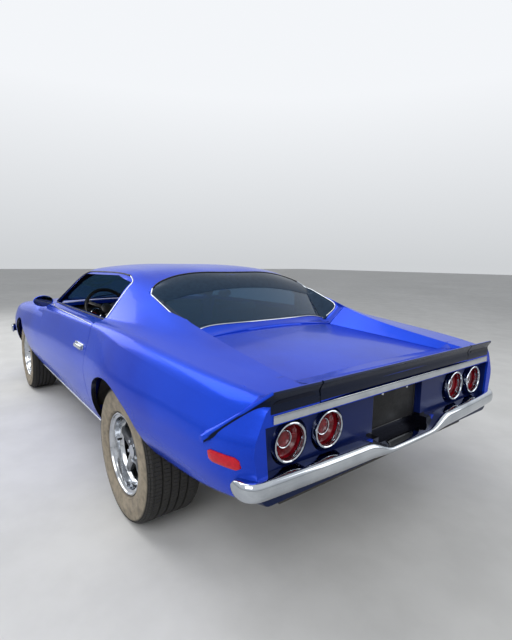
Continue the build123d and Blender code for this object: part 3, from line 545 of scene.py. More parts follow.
# Section of the rear bumper: depth from its face, height
BLADE = [(0.034, -0.036), (0.014, -0.0355), (0.006, -0.03), (0.0015, -0.019), (0.0, -0.004),
         (0.001, 0.012), (0.0045, 0.0225), (0.011, 0.0285), (0.02, 0.03), (0.035, 0.0285),
         (0.064, 0.025), (0.064, 0.019), (0.035, 0.0225), (0.02, 0.022), (0.012, 0.015),
         (0.009, 0.0), (0.012, -0.024), (0.034, -0.029)]
# Path of its middle, then round each corner. Columns: x, y, heading of the inner side, z, height share
BLADE_END_Y = 0.78
blade_path = []
for y in steps_between(-BLADE_END_Y, BLADE_END_Y, 53):
    z, share = bumper_z(y)
    blade_path.append((-2.387 + 0.03 * (y / 0.79) ** 2, y, 0.0, z, share))
wrap_z = bumper_z(BLADE_END_Y)[0]
wrap = []
for turn in steps_between(0.12, 1.0, 8):
    angle = turn * math.pi / 2
    wrap.append((-2.3572 + 0.062 * (1 - math.cos(angle)), BLADE_END_Y + 0.068 * math.sin(angle), -angle,
                 wrap_z, 1.0))
for ahead, share in ((0.014, 0.97), (0.026, 0.88), (0.034, 0.72), (0.039, 0.5)):
    wrap.append((-2.2952 + ahead, 0.8482 - 0.006 * (1 - share), -math.pi / 2, wrap_z, share))
blade_path = [(x, -y, -heading, z, share) for x, y, heading, z, share in reversed(wrap)] + blade_path + wrap
bm = bmesh.new()
bridged(bm, [[Vector((x, y, z)) + Vector((math.cos(heading), math.sin(heading), 0)) * depth
              + Vector((0, 0, rise * share)) for depth, rise in BLADE]
             for x, y, heading, z, share in blade_path], capped=True)
settle(bm, "rear_bumper_blade", "body", chrome, 40.0, ("rear_bumper",))


def side_lens(name, first_x, last_x, z, half, side, material):
    """Marker lens that follows the panel it is let into."""
    bm = bmesh.new()
    bmesh.ops.create_cube(bm, size=2.0)
    bmesh.ops.subdivide_edges(bm, edges=bm.edges[:], cuts=7, use_grid_fill=True)
    clear = half + 0.012
    for vert in bm.verts:
        along, up, out = vert.co
        corner = max(0.0, (abs(along) - 0.86) / 0.14) * max(0.0, (abs(up) - 0.4) / 0.6)
        x = (first_x + last_x) / 2 + along * (1 - 0.05 * corner) * (last_x - first_x) / 2
        rise = up * (1 - 0.3 * corner) * half
        low, high = on_side(x, z - clear), on_side(x, z + clear)
        share = (rise + clear) / (2 * clear)
        edge = max(abs(along) ** 10, abs(up) ** 4)
        proud = 0.0075 - 0.0035 * edge if out > 0.9 else 0.005 - 0.016 * (1 - out) / 2
        vert.co = Vector((x, low.y + (high.y - low.y) * share + proud, z + rise))
    mirrored(bm, side)
    return settle(bm, name, "body", material, 50.0)


softened("front_bumper", "front_bumper_blade", 0.009, chrome)

bm = bmesh.new()
brick(bm, (-2.3345, -0.735, 0.807), (-2.3295, 0.735, 0.836), 0.0018, 2)
settle(bm, "tail_band", "body", chrome)
bm = bmesh.new()
brick(bm, (-2.2745, -0.1525, 0.628), (-2.2712, 0.1525, 0.783), 0.001, 2, material=0)
brick(bm, (-2.2765, -0.1565, 0.624), (-2.2742, 0.1565, 0.6315), 0.0008, 2, material=1)
brick(bm, (-2.2765, -0.1565, 0.7795), (-2.2742, 0.1565, 0.787), 0.0008, 2, material=1)
for y0, y1 in ((-0.1565, -0.149), (0.149, 0.1565)):
    brick(bm, (-2.2765, y0, 0.624), (-2.2742, y1, 0.787), 0.0008, 2, material=1)
for y in (-0.0889, 0.0889):
    lathe(bm, [(0.0, -2.279), (0.005, -2.2785), (0.0066, -2.2765), (0.0066, -2.2742)], (0, y, 0.77),
          (1, 0, 0), 12, material=2)
settle(bm, "blank_plate", "body", [satin_black, black_gloss, chrome])

# Zones of the tail panel: the recess round the lamps, the lip under the spoiler and the valance carry painted
# shade; the plate bay is black
RECESS_HALF = 0.767
RECESS_TOP_Z = 0.803
BAY_HALF = 0.17
BAY_FOOT_HALF = 0.215
LIP_HALF = 0.745
tail_paint_with_painted_shade = paint("tail_paint_with_painted_shade")
x, y, z = axes(tail_paint_with_painted_shade)
# Painted shade: the recess round the lamps is dark navy, without coat or flake.
recess_painted_shade = maths("MULTIPLY", levels(x, -2.322, -2.318),
               between(y, -RECESS_HALF, RECESS_HALF), between(z, 0.56, RECESS_TOP_Z))
bay, bay_foot = (
    maths("MULTIPLY", between(y, -half, half), between(z, 0.3, top))
    for half, top in ((BAY_HALF, RECESS_TOP_Z), (BAY_FOOT_HALF, 0.632)))
# Painted shade: the lip under the spoiler is near black, without coat or flake.
lip = maths("MULTIPLY", levels(z, 0.838, 0.842),
            between(y, -LIP_HALF, LIP_HALF), levels(x, -2.326, -2.322, 1.0, 0.0))
# Painted shade: the valance below the bumper is deep navy, without coat or flake.
valance_painted_shade = levels(z, 0.566, 0.574, 1.0, 0.0)
black = maths("MAXIMUM", bay, bay_foot, lip)


def darkened(material, zones, matt):
    """Paint with dark zones, each a factor and a colour (painted shade or a dark colour of the part), and
    neither coat nor flake where it is matt.
    """
    shader = material.node_tree.nodes["Principled BSDF"]
    painted = shader.inputs["Base Color"].links[0].from_socket
    for factor, colour in zones:
        painted = blend_colours(factor, painted, colour)
    put(material, "Base Color", painted)
    for socket, full in (("Coat Weight", PAINT_COAT), ("Metallic", PAINT_METAL)):
        put(material, socket, levels(matt, 0.0, 1.0, full, 0.0, smooth=False))


# The black zone holds the plate bay's own black and the lip's painted shade.
darkened(tail_paint_with_painted_shade, ((valance_painted_shade, (0.004, 0.01, 0.045)), (recess_painted_shade, (0.006, 0.013, 0.08)),
                      (black, (0.003, 0.003, 0.005))), maths("MAXIMUM", black, recess_painted_shade, valance_painted_shade))
for held in nodes["tail_panel"].material_slots:
    held.material = tail_paint_with_painted_shade

lip_paint_painted_shade = paint("spoiler_paint_painted_shade")
# Painted shade: faces of the spoiler that look back or down turn near black, without coat or flake; the end
# faces at the joints between its pieces are dark too.
facing = axes(lip_paint_painted_shade, "Normal")
back_facing_painted_shade = levels(facing[0], -0.6, -0.4, 1.0, 0.0)
down_facing_painted_shade = levels(facing[2], -0.3, -0.1, 1.0, 0.0)
joint = maths("MULTIPLY", between(axes(lip_paint_painted_shade)[1], -0.56, 0.56),
              levels(maths("ABSOLUTE", facing[1]), 0.93, 0.97))
painted_shade_and_joint = maths("MAXIMUM", back_facing_painted_shade, down_facing_painted_shade, joint)
darkened(lip_paint_painted_shade, ((painted_shade_and_joint, (0.004, 0.006, 0.014)),), painted_shade_and_joint)
SPOILER_TOP = [(-2.235, 0.8835), (-2.275, 0.889), (-2.31, 0.903), (-2.337, 0.917), (-2.3415, 0.9165),
               (-2.3435, 0.9095), (-2.331, 0.89), (-2.328, 0.88), (-2.331, 0.866), (-2.3305, 0.843),
               (-2.3, 0.843)]
SPOILER_FOOT = [(-2.137, 0.732), (-2.136, 0.738), (-2.1375, 0.743), (-2.142, 0.7465), (-2.15, 0.748),
                (-2.157, 0.747), (-2.161, 0.744), (-2.163, 0.739), (-2.164, 0.734), (-2.1635, 0.729),
                (-2.159, 0.7255), (-2.15, 0.724), (-2.14, 0.7265)]


def spoiler_section(y):
    """Spoiler outline at y, its front edge let into the deck."""
    front = [(x, on_top(x, min(abs(y), 0.7)).z + lift) for x, lift in ((-2.172, -0.004), (-2.192, 0.0015))]
    return front + SPOILER_TOP


def swept_spoiler(name, node, body, sections, side=1):
    """Spoiler length through its sections. Columns: y, outline of x and z."""
    bm = bmesh.new()
    bridged(bm, [[(x, y, z) for x, z in outline] for y, outline in sections], capped=True)
    mirrored(bm, side)
    return settle(bm, name, body, lip_paint_painted_shade, 38.0, (node,))


swept_spoiler("lid_spoiler", "spoiler", "deck_lid",
              [(y, spoiler_section(y)) for y in steps_between(-0.523, 0.523, 25)])
TIP_Y = 0.745
TIP_LENGTH = 0.143
for side_name, side in SIDES:
    sections = [(y, spoiler_section(y)) for y in steps_between(0.53, TIP_Y, 6)]
    top = sections[-1][1]
    for share in steps_between(0.125, 1.0, 8):
        sections.append((TIP_Y + TIP_LENGTH * share, [(xa + (xb - xa) * share, za + (zb - za) * share)
                                                      for (xa, za), (xb, zb) in zip(top, SPOILER_FOOT)]))
    swept_spoiler(f"spoiler_tip_{side_name}", f"spoiler_end_{side_name}", "body", sections, side)


# Bright trim
EDGE_POINTS = 96


def outer_edge(node):
    """Outline of a glass node's outer sheet, as a closed line of evenly spaced points, and its surface."""
    bm = bmesh.new()
    bm.from_mesh(nodes[node].data)
    bmesh.ops.remove_doubles(bm, verts=bm.verts, dist=MERGE)
    bm.normal_update()
    top = [face for face in bm.faces if face.normal.z > 0.3]
    sheet = BVHTree.FromPolygons([vert.co.copy() for vert in bm.verts],
                                 [[vert.index for vert in face.verts] for face in top])
    links = {}
    for face in top:
        for edge in face.edges:
            if sum(other in top for other in edge.link_faces) == 1:
                first, last = edge.verts
                links.setdefault(first.index, []).append(last.index)
                links.setdefault(last.index, []).append(first.index)
    chain = [min(links)]
    while len(chain) < len(links):
        onward = [index for index in links[chain[-1]] if index not in chain[-2:]]
        if not onward or onward[0] == chain[0]:
            break
        chain.append(onward[0])
    bm.verts.ensure_lookup_table()
    corners = [bm.verts[index].co.copy() for index in chain]
    bm.free()
    lengths = [(corners[i] - corners[i - 1]).length for i in range(len(corners))]
    total, points = sum(lengths), []
    for goal in steps_between(0.0, total, EDGE_POINTS + 1)[:-1]:
        walked = 0.0
        for i, span in enumerate(lengths):
            if walked + span >= goal:
                points.append(corners[i - 1].lerp(corners[i], (goal - walked) / max(span, 1e-9)))
                break
            walked += span
    return points, sheet


def eased(points, rounds):
    """Closed line with its corners rounded."""
    for _ in range(rounds):
        points = [(points[i - 1] + points[i] * 2 + points[(i + 1) % len(points)]) / 4
                  for i in range(len(points))]
    return points


def closed_rows(bm, rows):
    """Closed lines of points, one inside the other, bridged into a band that faces up."""
    bridged(bm, rows)
    bm.normal_update()
    bmesh.ops.reverse_faces(bm, faces=[face for face in bm.faces if face.normal.z < 0])


def window_frame(node, points, band, lifts, dark_start=0):
    """Dark band round a pane, a thin bright strip at its edge and a black one along its first points."""
    inner = [band(point) for point in points]

    def covered(point, lift):
        for step in range(48):
            reach, turn = GAP * math.ceil(step / 8), step * math.pi / 4
            hit = below(upper, point.x + reach * math.cos(turn), point.y + reach * math.sin(turn))
            if hit:
                return Vector((point.x, point.y, hit.z + lift))
        raise ValueError(f"nothing under the {node} frame at {point}")

    rows = [[covered(point.lerp(end, share), lift) for point, end in zip(points, inner)]
            for share, lift in ((0.0, lifts[0]), (0.12, lifts[1]), (0.5, lifts[1]), (0.94, lifts[1]),
                                (1.0, lifts[0] / 3))]
    bm = bmesh.new()
    closed_rows(bm, rows)
    settle(bm, f"{node}_band", "body", glass_band, turn=False)
    line = [point + Vector((0, 0, 0.0015)) for point in rows[0]]
    if dark_start:
        bead(f"{node}_header", line[:dark_start + 1], 0.005, "body", satin_black, "grille_black")
        line = line[dark_start:] + line[:1]
    bead(f"{node}_trim", line, 0.0045, cyclic=not dark_start)


def crest(x):
    """Top of the rear window's side wall: the y where the sail panel levels out."""
    y = 0.44 + (x + 1.48) / 0.48 * 0.19
    while on_top(x, y) is None:
        y += 0.004
    first = last = on_top(x, y)
    for _ in range(70):
        point = on_top(x, y + 0.004)
        if point is None or point.z - last.z < 0.0014 and last.z > first.z + 0.015:
            break
        y, last = y + 0.004, point
    return last.y


def flat(points):
    """Points of x and y, laid at no height: window_frame drops them onto the car."""
    return [Vector((x, y, 0)) for x, y in points]


def other_side(points):
    """The same line on the right side, run the other way."""
    return [Vector((point.x, -point.y, 0)) for point in reversed(points)]


upper = surface(PAINTED + ["rear_window", "windshield", "parcel_shelf"])

# Outline of the rear window, from above: header, shoulders, sides, corners, foot
front_x, back_x = -1.2, -1.4
front_y, back_y = crest(front_x), crest(back_x)
header = flat((-1.031 + 0.026 * (y / 0.41) ** 2, y) for y in steps_between(-0.43, 0.43, 19))
shoulder = flat(((-1.008, 0.48), (-1.022, 0.53), (-1.047, 0.575)))
head_line = other_side(shoulder) + header + shoulder
side_line = flat((x, front_y + (back_y - front_y) * (x - front_x) / (back_x - front_x) - 0.004)
                 for x in steps_between(-1.085, -1.385, 18))
corner = flat(((-1.402, 0.604), (-1.413, 0.596), (-1.418, 0.582), (-1.416, 0.565), (-1.409, 0.545),
               (-1.399, 0.52), (-1.39, 0.495), (-1.38, 0.465)))
foot_line = flat((-1.424 + 0.0405 * (y / 0.39) ** 2, y) for y in steps_between(0.435, -0.435, 25))
frame_loop = head_line + side_line + corner + foot_line + other_side(side_line + corner)
frame_loop = eased(frame_loop, 8)


def rear_band(point):
    """Inner edge of the dark band: past the roof's edge, down the side walls, close to the foot line."""
    if abs(point.y) < 0.59 and point.x > -1.075:
        return Vector((-1.172, point.y * 0.95, 0))
    x = min(point.x, -1.172)
    foot = 0.43 + (x + 1.48) * 0.396
    if abs(point.y) < foot + 0.016:
        return point + Vector((0.016, 0, 0))
    return Vector((x, math.copysign(foot, point.y), 0))


window_frame("rear_window", frame_loop, rear_band, (0.003, 0.0045), dark_start=len(head_line))

# Painted panel between the rear window and the deck lid. Columns: drop at the edges, share of the way back
MIDDLE_X = -1.428
LID_X = -1.4865
bm = bmesh.new()
edge_line = frame_loop[len(head_line + side_line):len(frame_loop) - len(side_line)]
rows = []
for drop, share in ((0.012, 0.0), (0.0035, 0.0), (0.0, 0.04), (0.0, 0.25), (0.0, 0.5), (0.0, 0.75),
                    (0.0, 0.97), (0.0015, 1.0), (0.014, 1.0)):
    row = []
    for x, y, _ in edge_line:
        edge, middle, lid = (below(upper, at, y).z for at in (x, MIDDLE_X, LID_X))
        here = x + (-1.4735 - x) * share
        if here > MIDDLE_X:
            height = edge + (middle - edge) * (here - x) / min(-0.002, MIDDLE_X - x)
        else:
            height = middle + (lid - middle) * (here - MIDDLE_X) / (LID_X - MIDDLE_X)
        row.append((here, y, height + 0.0045 - drop))
    rows.append(row)
bridged(bm, rows, closed=False)
settle(bm, "window_foot_panel", "body", blue, 40.0)


def toward_middle(points, reach):
    """Each point's partner, that far toward the middle of them all."""
    middle = sum(points, Vector()) / len(points)
    return [point + (middle - point).normalized() * reach for point in points]


screen_edge, screen = outer_edge("windshield")
screen_loop = eased(toward_middle(screen_edge, 0.004), 6)
screen_middle = sum(screen_loop, Vector()) / len(screen_loop)
window_frame("windshield", screen_loop, lambda point: point + (screen_middle - point).normalized() * 0.026,
             (0.003, 0.0045))
BLACK_TRIM = (satin_black, "grille_black")
DRIP = [(0.47, 0.964), (0.3, 1.088), (0.17, 1.178), (0.1, 1.216), (0.02, 1.222), (-0.3, 1.228),
        (-0.64, 1.229), (-0.78, 1.217), (-0.872, 1.193), (-0.889, 1.16), (-0.9, 1.08), (-0.914, 0.985)]
for side_name, side in SIDES:
    drip = [on_side(x, z, 0.001) for x, z in DRIP]
    bead(f"drip_rail_{side_name}", drip[:8], 0.0065, "body", *BLACK_TRIM, side)
    bead(f"quarter_window_strip_{side_name}", drip[7:], 0.0042, side=side)
    for part, first, last in (("fender", 1.04, 0.452), ("sill", 0.44, -0.898), ("quarter", -0.909, -0.935)):
        bead(f"rocker_strip_{part}_{side_name}",
             [on_side(x, 0.336, 0.001) for x in steps_between(first, last, 6)], 0.006, side=side)
    bead(f"belt_strip_{side_name}", [on_side(x, 0.9475, -0.004) for x in steps_between(0.425, -0.885, 16)],
         0.0042, f"door_{side_name}", side=side)
    bead(f"glass_seal_{side_name}", [(x, 0.76, 0.96) for x in steps_between(0.425, -0.86, 12)],
         0.0055, f"door_{side_name}", *BLACK_TRIM, side)

# Handles and mirrors
for side_name, side in SIDES:
    door = f"door_{side_name}"
    face_y = on_side(-0.76, 0.81).y
    bm = bmesh.new()
    brick(bm, (-0.838, face_y - 0.012, 0.788), (-0.682, face_y + 0.006, 0.832), 0.005, 3)
    flap = brick(bm, (-0.826, face_y + 0.004, 0.797), (-0.694, face_y + 0.02, 0.824), 0.006, 3)
    for vert in flap:
        vert.co.y -= 9.0 * (vert.co.z - 0.8105) ** 2 + 0.3 * max(0.0, -0.76 - vert.co.x) ** 2
    lathe(bm, [(0.0, face_y + 0.009), (0.0105, face_y + 0.009), (0.0125, face_y + 0.006),
               (0.0125, face_y - 0.01)], (-0.79, 0, 0.764), (0, 1, 0), 32)
    brick(bm, (-0.7908, face_y + 0.0085, 0.7595), (-0.7892, face_y + 0.0096, 0.7685), 0.0, material=1)
    mirrored(bm, side)
    settle(bm, f"door_handle_{side_name}", door, [chrome, satin_black], 30.0,
           (f"door_fittings_{side_name}",))
    bm = bmesh.new()
    pod = [(0.0, 0.44), (0.014, 0.4385), (0.028, 0.433), (0.038, 0.422), (0.0435, 0.406),
           (0.045, 0.392), (0.045, 0.383), (0.043, 0.3805), (0.0415, 0.3825)]
    lathe(bm, pod, (0, 0, 0.978), (1, 0, 0), 64, material=0)
    lathe(bm, [(0.0415, 0.3825), (0.041, 0.3845), (0.025, 0.3836), (0.0, 0.3832)], (0, 0, 0.978),
          (1, 0, 0), 64, material=1)
    bmesh.ops.scale(bm, vec=(1, 1.62, 1), verts=bm.verts)
    bmesh.ops.translate(bm, vec=(0, 0.872, 0), verts=bm.verts)
    foot_z = on_top(0.41, 0.838).z
    stalk = brick(bm, (0.396, 0.824, foot_z - 0.004), (0.43, 0.86, 0.965), 0.009, 3, material=0)
    for vert in stalk:
        spread = 1.0 + 0.5 * max(0.0, (0.948 - vert.co.z) / (0.948 - foot_z + 0.004)) ** 2
        vert.co.x = 0.412 + (vert.co.x - 0.412) * spread
    mirrored(bm, side)
    settle(bm, f"door_mirror_{side_name}", door, [blue, dark_mirror], 30.0)

# Lamps and grille
for side_name, side in SIDES:
    rear_lens = side_lens(f"rear_marker_{side_name}", -2.16, -2.285, 0.683, 0.0225, side, marker_red)
    side_lens(f"front_marker_{side_name}", 2.195, 2.075, 0.6, 0.0155, side, marker_amber)
    if side > 0:
        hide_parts("marker_lamps")
for side_name, side in SIDES:
    bm = bmesh.new()
    at = (0, 0.585, 0.66)
    lathes(bm, at, (1, 0, 0),
           (64, 0, [(0.082, 2.264), (0.082, 2.327), (0.0795, 2.3325), (0.0745, 2.3335), (0.071, 2.33),
                    (0.07, 2.318)]),
           (64, 1, [(0.07, 2.318), (0.066, 2.302), (0.055, 2.286), (0.036, 2.274), (0.014, 2.268),
                    (0.0, 2.267)]))
    lathe(bm, [(0.0705, 2.3175), (0.0705, 2.3205), (0.052, 2.3265), (0.028, 2.33), (0.0, 2.3312),
               (0.0, 2.3285), (0.028, 2.3272), (0.052, 2.3238)], at, (1, 0, 0), 64, closed=True, material=2)
    mirrored(bm, side)
    lamp = settle(bm, f"headlamp_{side_name}", "body", [chrome, polished, lamp_glass], 30.0)
    if side > 0:
        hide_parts("headlamps")
half = [(0.4, 0.5745), (0.7, 0.5745), (0.7175, 0.578), (0.7175, 0.62), (0.7175, 0.7), (0.7175, 0.742),
        (0.7, 0.7455), (0.4, 0.7455)]
surround = [(0.0, 0.5745)] + half + [(0.0, 0.7455)] + [(-y, z) for y, z in reversed(half)]
surround = surround[-2:] + surround[:-2]
bead("grille_surround", [(2.3285, y, z) for y, z in surround], 0.0055, cyclic=True)


# Wipers
def on_screen(x, y, lift):
    """Point above the windscreen."""
    hit = below(screen, x, y)
    return hit + Vector((0, 0, lift)) if hit else None


for index, (pivot_y, tip_y) in enumerate(((0.42, 0.02), (-0.1, -0.5))):
    blade = [on_screen(0.615 - 0.05 * share, pivot_y + 0.12 + (tip_y - pivot_y - 0.12) * share, 0.01)
             for share in steps_between(0.0, 1.0, 9)]
    bead(f"wiper_blade_{index + 1}", blade, 0.0045, "body", *BLACK_TRIM)
    middle_y = (pivot_y + tip_y) / 2
    arm = [on_screen(*spot) for spot in ((0.64, pivot_y, 0.012), (0.625, pivot_y - 0.05, 0.02),
                                         (0.605, middle_y, 0.022), (0.592, middle_y - 0.04, 0.016))]
    bead(f"wiper_arm_{index + 1}", arm, 0.0038, "body", steel, "chrome")

# Cabin
bm = bmesh.new()
lathe(bm, [(0.17 + 0.0148 * math.cos(t), 0.0148 * math.sin(t))
           for t in steps_between(0.0, 2 * math.pi, 17)[:-1]], (0, 0, 0), (0, 0, 1), 72, closed=True)
for turn in (90.0, 205.0, -25.0):
    spoke = brick(bm, (0.03, -0.014, -0.012), (0.162, 0.014, -0.006), 0.0025, 2, material=1)
    turned(bm, spoke, turn, "Z")
lathe(bm, [(0.0, 0.012), (0.03, 0.01), (0.045, 0.002), (0.047, -0.008), (0.036, -0.02), (0.024, -0.026),
           (0.024, -0.12)], (0, 0, 0), (0, 0, 1), 48, material=0)
tilt = math.radians(65)
leaned = Matrix(((0, -math.cos(tilt), -math.sin(tilt)), (1, 0, 0), (0, -math.sin(tilt), math.cos(tilt))))
bmesh.ops.transform(bm, matrix=leaned.to_4x4(), verts=bm.verts)
bmesh.ops.translate(bm, vec=(0.33, 0.39, 0.9), verts=bm.verts)
settle(bm, "steering_wheel_rim", "body", [vinyl, steel], 40.0, ("steering_wheel",))

softened("dashboard", "dash_pad", 0.016, vinyl)
# Dials, heater knobs, vents and glove box lid
DIAL_Z = 0.846
bm = bmesh.new()
for y, radius in ((0.45, 0.04), (0.33, 0.04), (0.25, 0.022), (0.53, 0.022)):
    lathes(bm, (0, y, DIAL_Z), (1, 0, 0),
           (48, 0, [(radius + 0.006, 0.452), (radius + 0.006, 0.4335), (radius + 0.003, 0.4315),
                    (radius, 0.4335), (radius, 0.4385)]),
           (48, 1, [(radius, 0.4385), (0.0, 0.4385)]))
    hands = [(-120 + 30 * i, (0.4375, -0.0008, radius * 0.74), (0.4383, 0.0008, radius * 0.92), 2)
             for i in range(9)]
    hands.append((-75, (0.4365, -0.0009, -0.006), (0.4373, 0.0009, radius * 0.78), 3))
    for degrees, low, high, material in hands:
        turned(bm, brick(bm, low, high, material=material), degrees, "X", (0, y, DIAL_Z))
brick(bm, (0.436, -0.09, 0.815), (0.452, 0.09, 0.872), 0.004, material=4)
for y in (-0.072, 0.072):
    lathe(bm, [(0.0, 0.424), (0.0085, 0.424), (0.01, 0.4265), (0.0105, 0.437)], (0, y, 0.843), (1, 0, 0), 24)
for y in (-0.18, 0.608, -0.598):
    brick(bm, (0.437, y - 0.024, 0.822), (0.452, y + 0.024, 0.868), 0.004, material=4)
    for z in steps_between(0.831, 0.859, 5):
        brick(bm, (0.4345, y - 0.019, z - 0.0012), (0.4385, y + 0.019, z + 0.0012), material=1)
brick(bm, (0.4385, -0.52, 0.815), (0.452, -0.24, 0.874), 0.004, material=4)
lathe(bm, [(0.0, 0.4335), (0.007, 0.434), (0.0085, 0.437), (0.0085, 0.44)], (0, -0.38, 0.861),
      (1, 0, 0), 20)
settle(bm, "instruments", "body", [chrome, satin_black, dial_white, dial_red, cabin_plastic],
       30.0)

bm = bmesh.new()
brick(bm, (-0.43, -0.088, 0.452), (0.33, 0.088, 0.512), 0.014, 3)
brick(bm, (-0.06, -0.045, 0.508), (0.14, 0.045, 0.5155), 0.003, material=1)
lathes(bm, (0.04, 0, 0), (0, 0, 1),
       (24, 2, [(0.024, 0.512), (0.02, 0.53), (0.0075, 0.548), (0.0062, 0.64), (0.0075, 0.648)]),
       (32, 2, [(0.0075, 0.646), (0.017, 0.652), (0.0215, 0.668), (0.019, 0.684), (0.01, 0.692),
                (0.0, 0.694)]))
settle(bm, "console_and_lever", "body", [cabin_plastic, steel, satin_black], 35.0)

bm = bmesh.new()
brick(bm, (0.15, -0.105, 1.18), (0.166, 0.105, 1.228), 0.007, 3)
brick(bm, (0.1485, -0.098, 1.187), (0.152, 0.098, 1.221), 0.0015, material=1)
brick(bm, (0.158, -0.008, 1.215), (0.172, 0.008, 1.262), 0.003)
settle(bm, "inner_mirror", "body", [satin_black, dark_mirror], 35.0)

for side_name, side in SIDES:
    bm = bmesh.new()
    brick(bm, (-0.8, 0.7235, 0.4), (0.36, 0.7346, 0.93), 0.005)
    for z in (0.8, 0.5):
        brick(bm, (-0.79, 0.719, z), (0.35, 0.7255, z + 0.006), 0.002, material=1)
    rest = brick(bm, (-0.5, 0.672, 0.61), (0.02, 0.726, 0.664), 0.014, 3)
    for vert in rest:
        vert.co.z += 0.02 * max(0.0, (vert.co.x + 0.1) / 0.12)
    lathe(bm, [(0.0, 0.713), (0.016, 0.714), (0.018, 0.718), (0.018, 0.724)], (-0.1, 0, 0.56),
          (0, 1, 0), 28, material=1)
    brick(bm, (-0.196, 0.7085, 0.554), (-0.1, 0.7135, 0.566), 0.002, material=1)
    lathe(bm, [(0.0, 0.69), (0.0085, 0.69), (0.01, 0.694), (0.01, 0.7085)], (-0.19, 0, 0.56),
          (0, 1, 0), 20, material=2)
    brick(bm, (0.11, 0.706, 0.735), (0.22, 0.712, 0.75), 0.002, material=1)
    brick(bm, (0.19, 0.71, 0.735), (0.214, 0.7255, 0.752), 0.002, material=1)
    mirrored(bm, side)
    settle(bm, f"door_card_{side_name}", f"door_{side_name}", [vinyl, chrome, satin_black], 35.0)
softened("fuel_tank", "fuel_tank_shell", 0.018, steel)
softened("engine", "engine_block", 0.012, chassis)


# Seats
def cushion(name, outline, low_y, high_y, body, lines, cap=0.012, across=None, replaces=()):
    """Stuffed seat pad: an outline of x and z across the car, swelled, then sewn along its lines."""
    bm = bmesh.new()
    grow = 0.01
    ends = [[bm.verts.new((x, y, z)) for x, z in outline] for y in (low_y + grow, high_y - grow)]
    bm.faces.new(ends[0])
    bm.faces.new(ends[1][::-1])
    for i in range(len(outline)):
        bm.faces.new((ends[0][i - 1], ends[0][i], ends[1][i], ends[1][i - 1]))
    bmesh.ops.recalc_face_normals(bm, faces=bm.faces)
    rounded(bm, list(bm.edges), 0.018, 3)
    data = bpy.data.meshes.new(name)
    bm.to_mesh(data)
    bm.free()
    piece = linked(name, data)
    remesh = piece.modifiers.new("remesh", "REMESH")
    remesh.mode = "VOXEL"
    remesh.voxel_size = 0.011
    applied(piece)
    rest_points = [vert.co.copy() for vert in piece.data.vertices]
    cloth = piece.modifiers.new("cloth", "CLOTH")
    cloth.settings.quality = 5
    cloth.settings.mass = 0.3
    cloth.settings.use_pressure = True
    cloth.settings.uniform_pressure_force = 4.0
    cloth.settings.effector_weights.gravity = 0.0
    cloth.collision_settings.use_collision = False
    for frame_number in range(1, 15):
        bpy.context.scene.frame_set(frame_number)
    applied(piece)
    bpy.context.scene.frame_set(1)
    for vert, start in zip(piece.data.vertices, rest_points):
        moved = vert.co - start
        if moved.length > cap:
            vert.co = start + moved.normalized() * cap
    divide = piece.modifiers.new("divide", "SUBSURF")
    divide.levels = divide.render_levels = 1
    applied(piece)
    bm = bmesh.new()
    bm.from_mesh(piece.data)
    bm.normal_update()
    for vert in bm.verts:
        facing = vert.normal.x * 0.6 + vert.normal.z * 0.8
        if facing < 0.35:
            continue
        press = sum(math.exp(-((vert.co.y - line) / 0.0055) ** 2) for line in lines)
        if across is not None:
            run = (vert.co - Vector((across[0], vert.co.y, across[1]))).dot(
                Vector((across[2], 0, across[3])).normalized())
            press = max(press if run > 0 else 0.0, math.exp(-(run / 0.006) ** 2))
        vert.co -= vert.normal * 0.0065 * min(1.0, press) * min(1.0, (facing - 0.35) / 0.2)
    bm.to_mesh(piece.data)
    bm.free()
    piece.data.materials.clear()
    piece.data.materials.append(vinyl)
    piece.data.shade_smooth()
    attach(piece, body)
    if replaces:
        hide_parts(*replaces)
    return piece


def applied(piece):
    """Bakes a piece's modifiers into its mesh."""
    held = bpy.data.meshes.new_from_object(piece.evaluated_get(bpy.context.evaluated_depsgraph_get()))
    piece.modifiers.clear()
    piece.data = held


SEAT_PAD = [(0.135, 0.385), (0.145, 0.49), (0.11, 0.528), (-0.27, 0.498), (-0.33, 0.48), (-0.355, 0.385)]
SEAT_BACK = [(-0.318, 0.535), (-0.455, 0.945), (-0.48, 0.985), (-0.515, 0.988), (-0.54, 0.945), (-0.402, 0.5)]
REAR_PAD = [(-0.622, 0.365), (-0.622, 0.505), (-0.655, 0.543), (-0.87, 0.518), (-0.905, 0.505), (-0.8, 0.38)]
REAR_BACK = [(-0.903, 0.562), (-1.022, 0.835), (-1.05, 0.862), (-1.09, 0.862), (-1.095, 0.535),
             (-0.985, 0.53)]
for side_name, side in SIDES:
    seat_y = 0.39 * side
    pleats = [seat_y + offset for offset in (-0.15, -0.1, -0.05, 0.0, 0.05, 0.1, 0.15)]
    cushion(f"front_cushion_{side_name}", SEAT_PAD, seat_y - 0.222, seat_y + 0.222, "body", pleats,
            across=(0.085, 0.52, -1, -0.08), replaces=("front_seats",) if side > 0 else ())
    cushion(f"front_backrest_{side_name}", SEAT_BACK, seat_y - 0.218, seat_y + 0.218, "body", pleats,
            across=(-0.43, 0.88, 0.32, -0.95))
    bm = bmesh.new()
    brick(bm, (-0.35, seat_y - 0.19, 0.322), (0.12, seat_y + 0.19, 0.392), 0.008, 2)
    settle(bm, f"seat_base_{side_name}", "body", satin_black)
rear_pleats = [side * offset for offset in (0.02, 0.085, 0.15, 0.215, 0.28, 0.345, 0.41, 0.475)
               for side in (-1, 1)]
cushion("rear_cushion", REAR_PAD, -0.53, 0.53, "body", rear_pleats, replaces=("rear_seat",))
cushion("rear_backrest", REAR_BACK, -0.53, 0.53, "body", rear_pleats, across=(-1.000, 0.79, 0.38, -0.92))


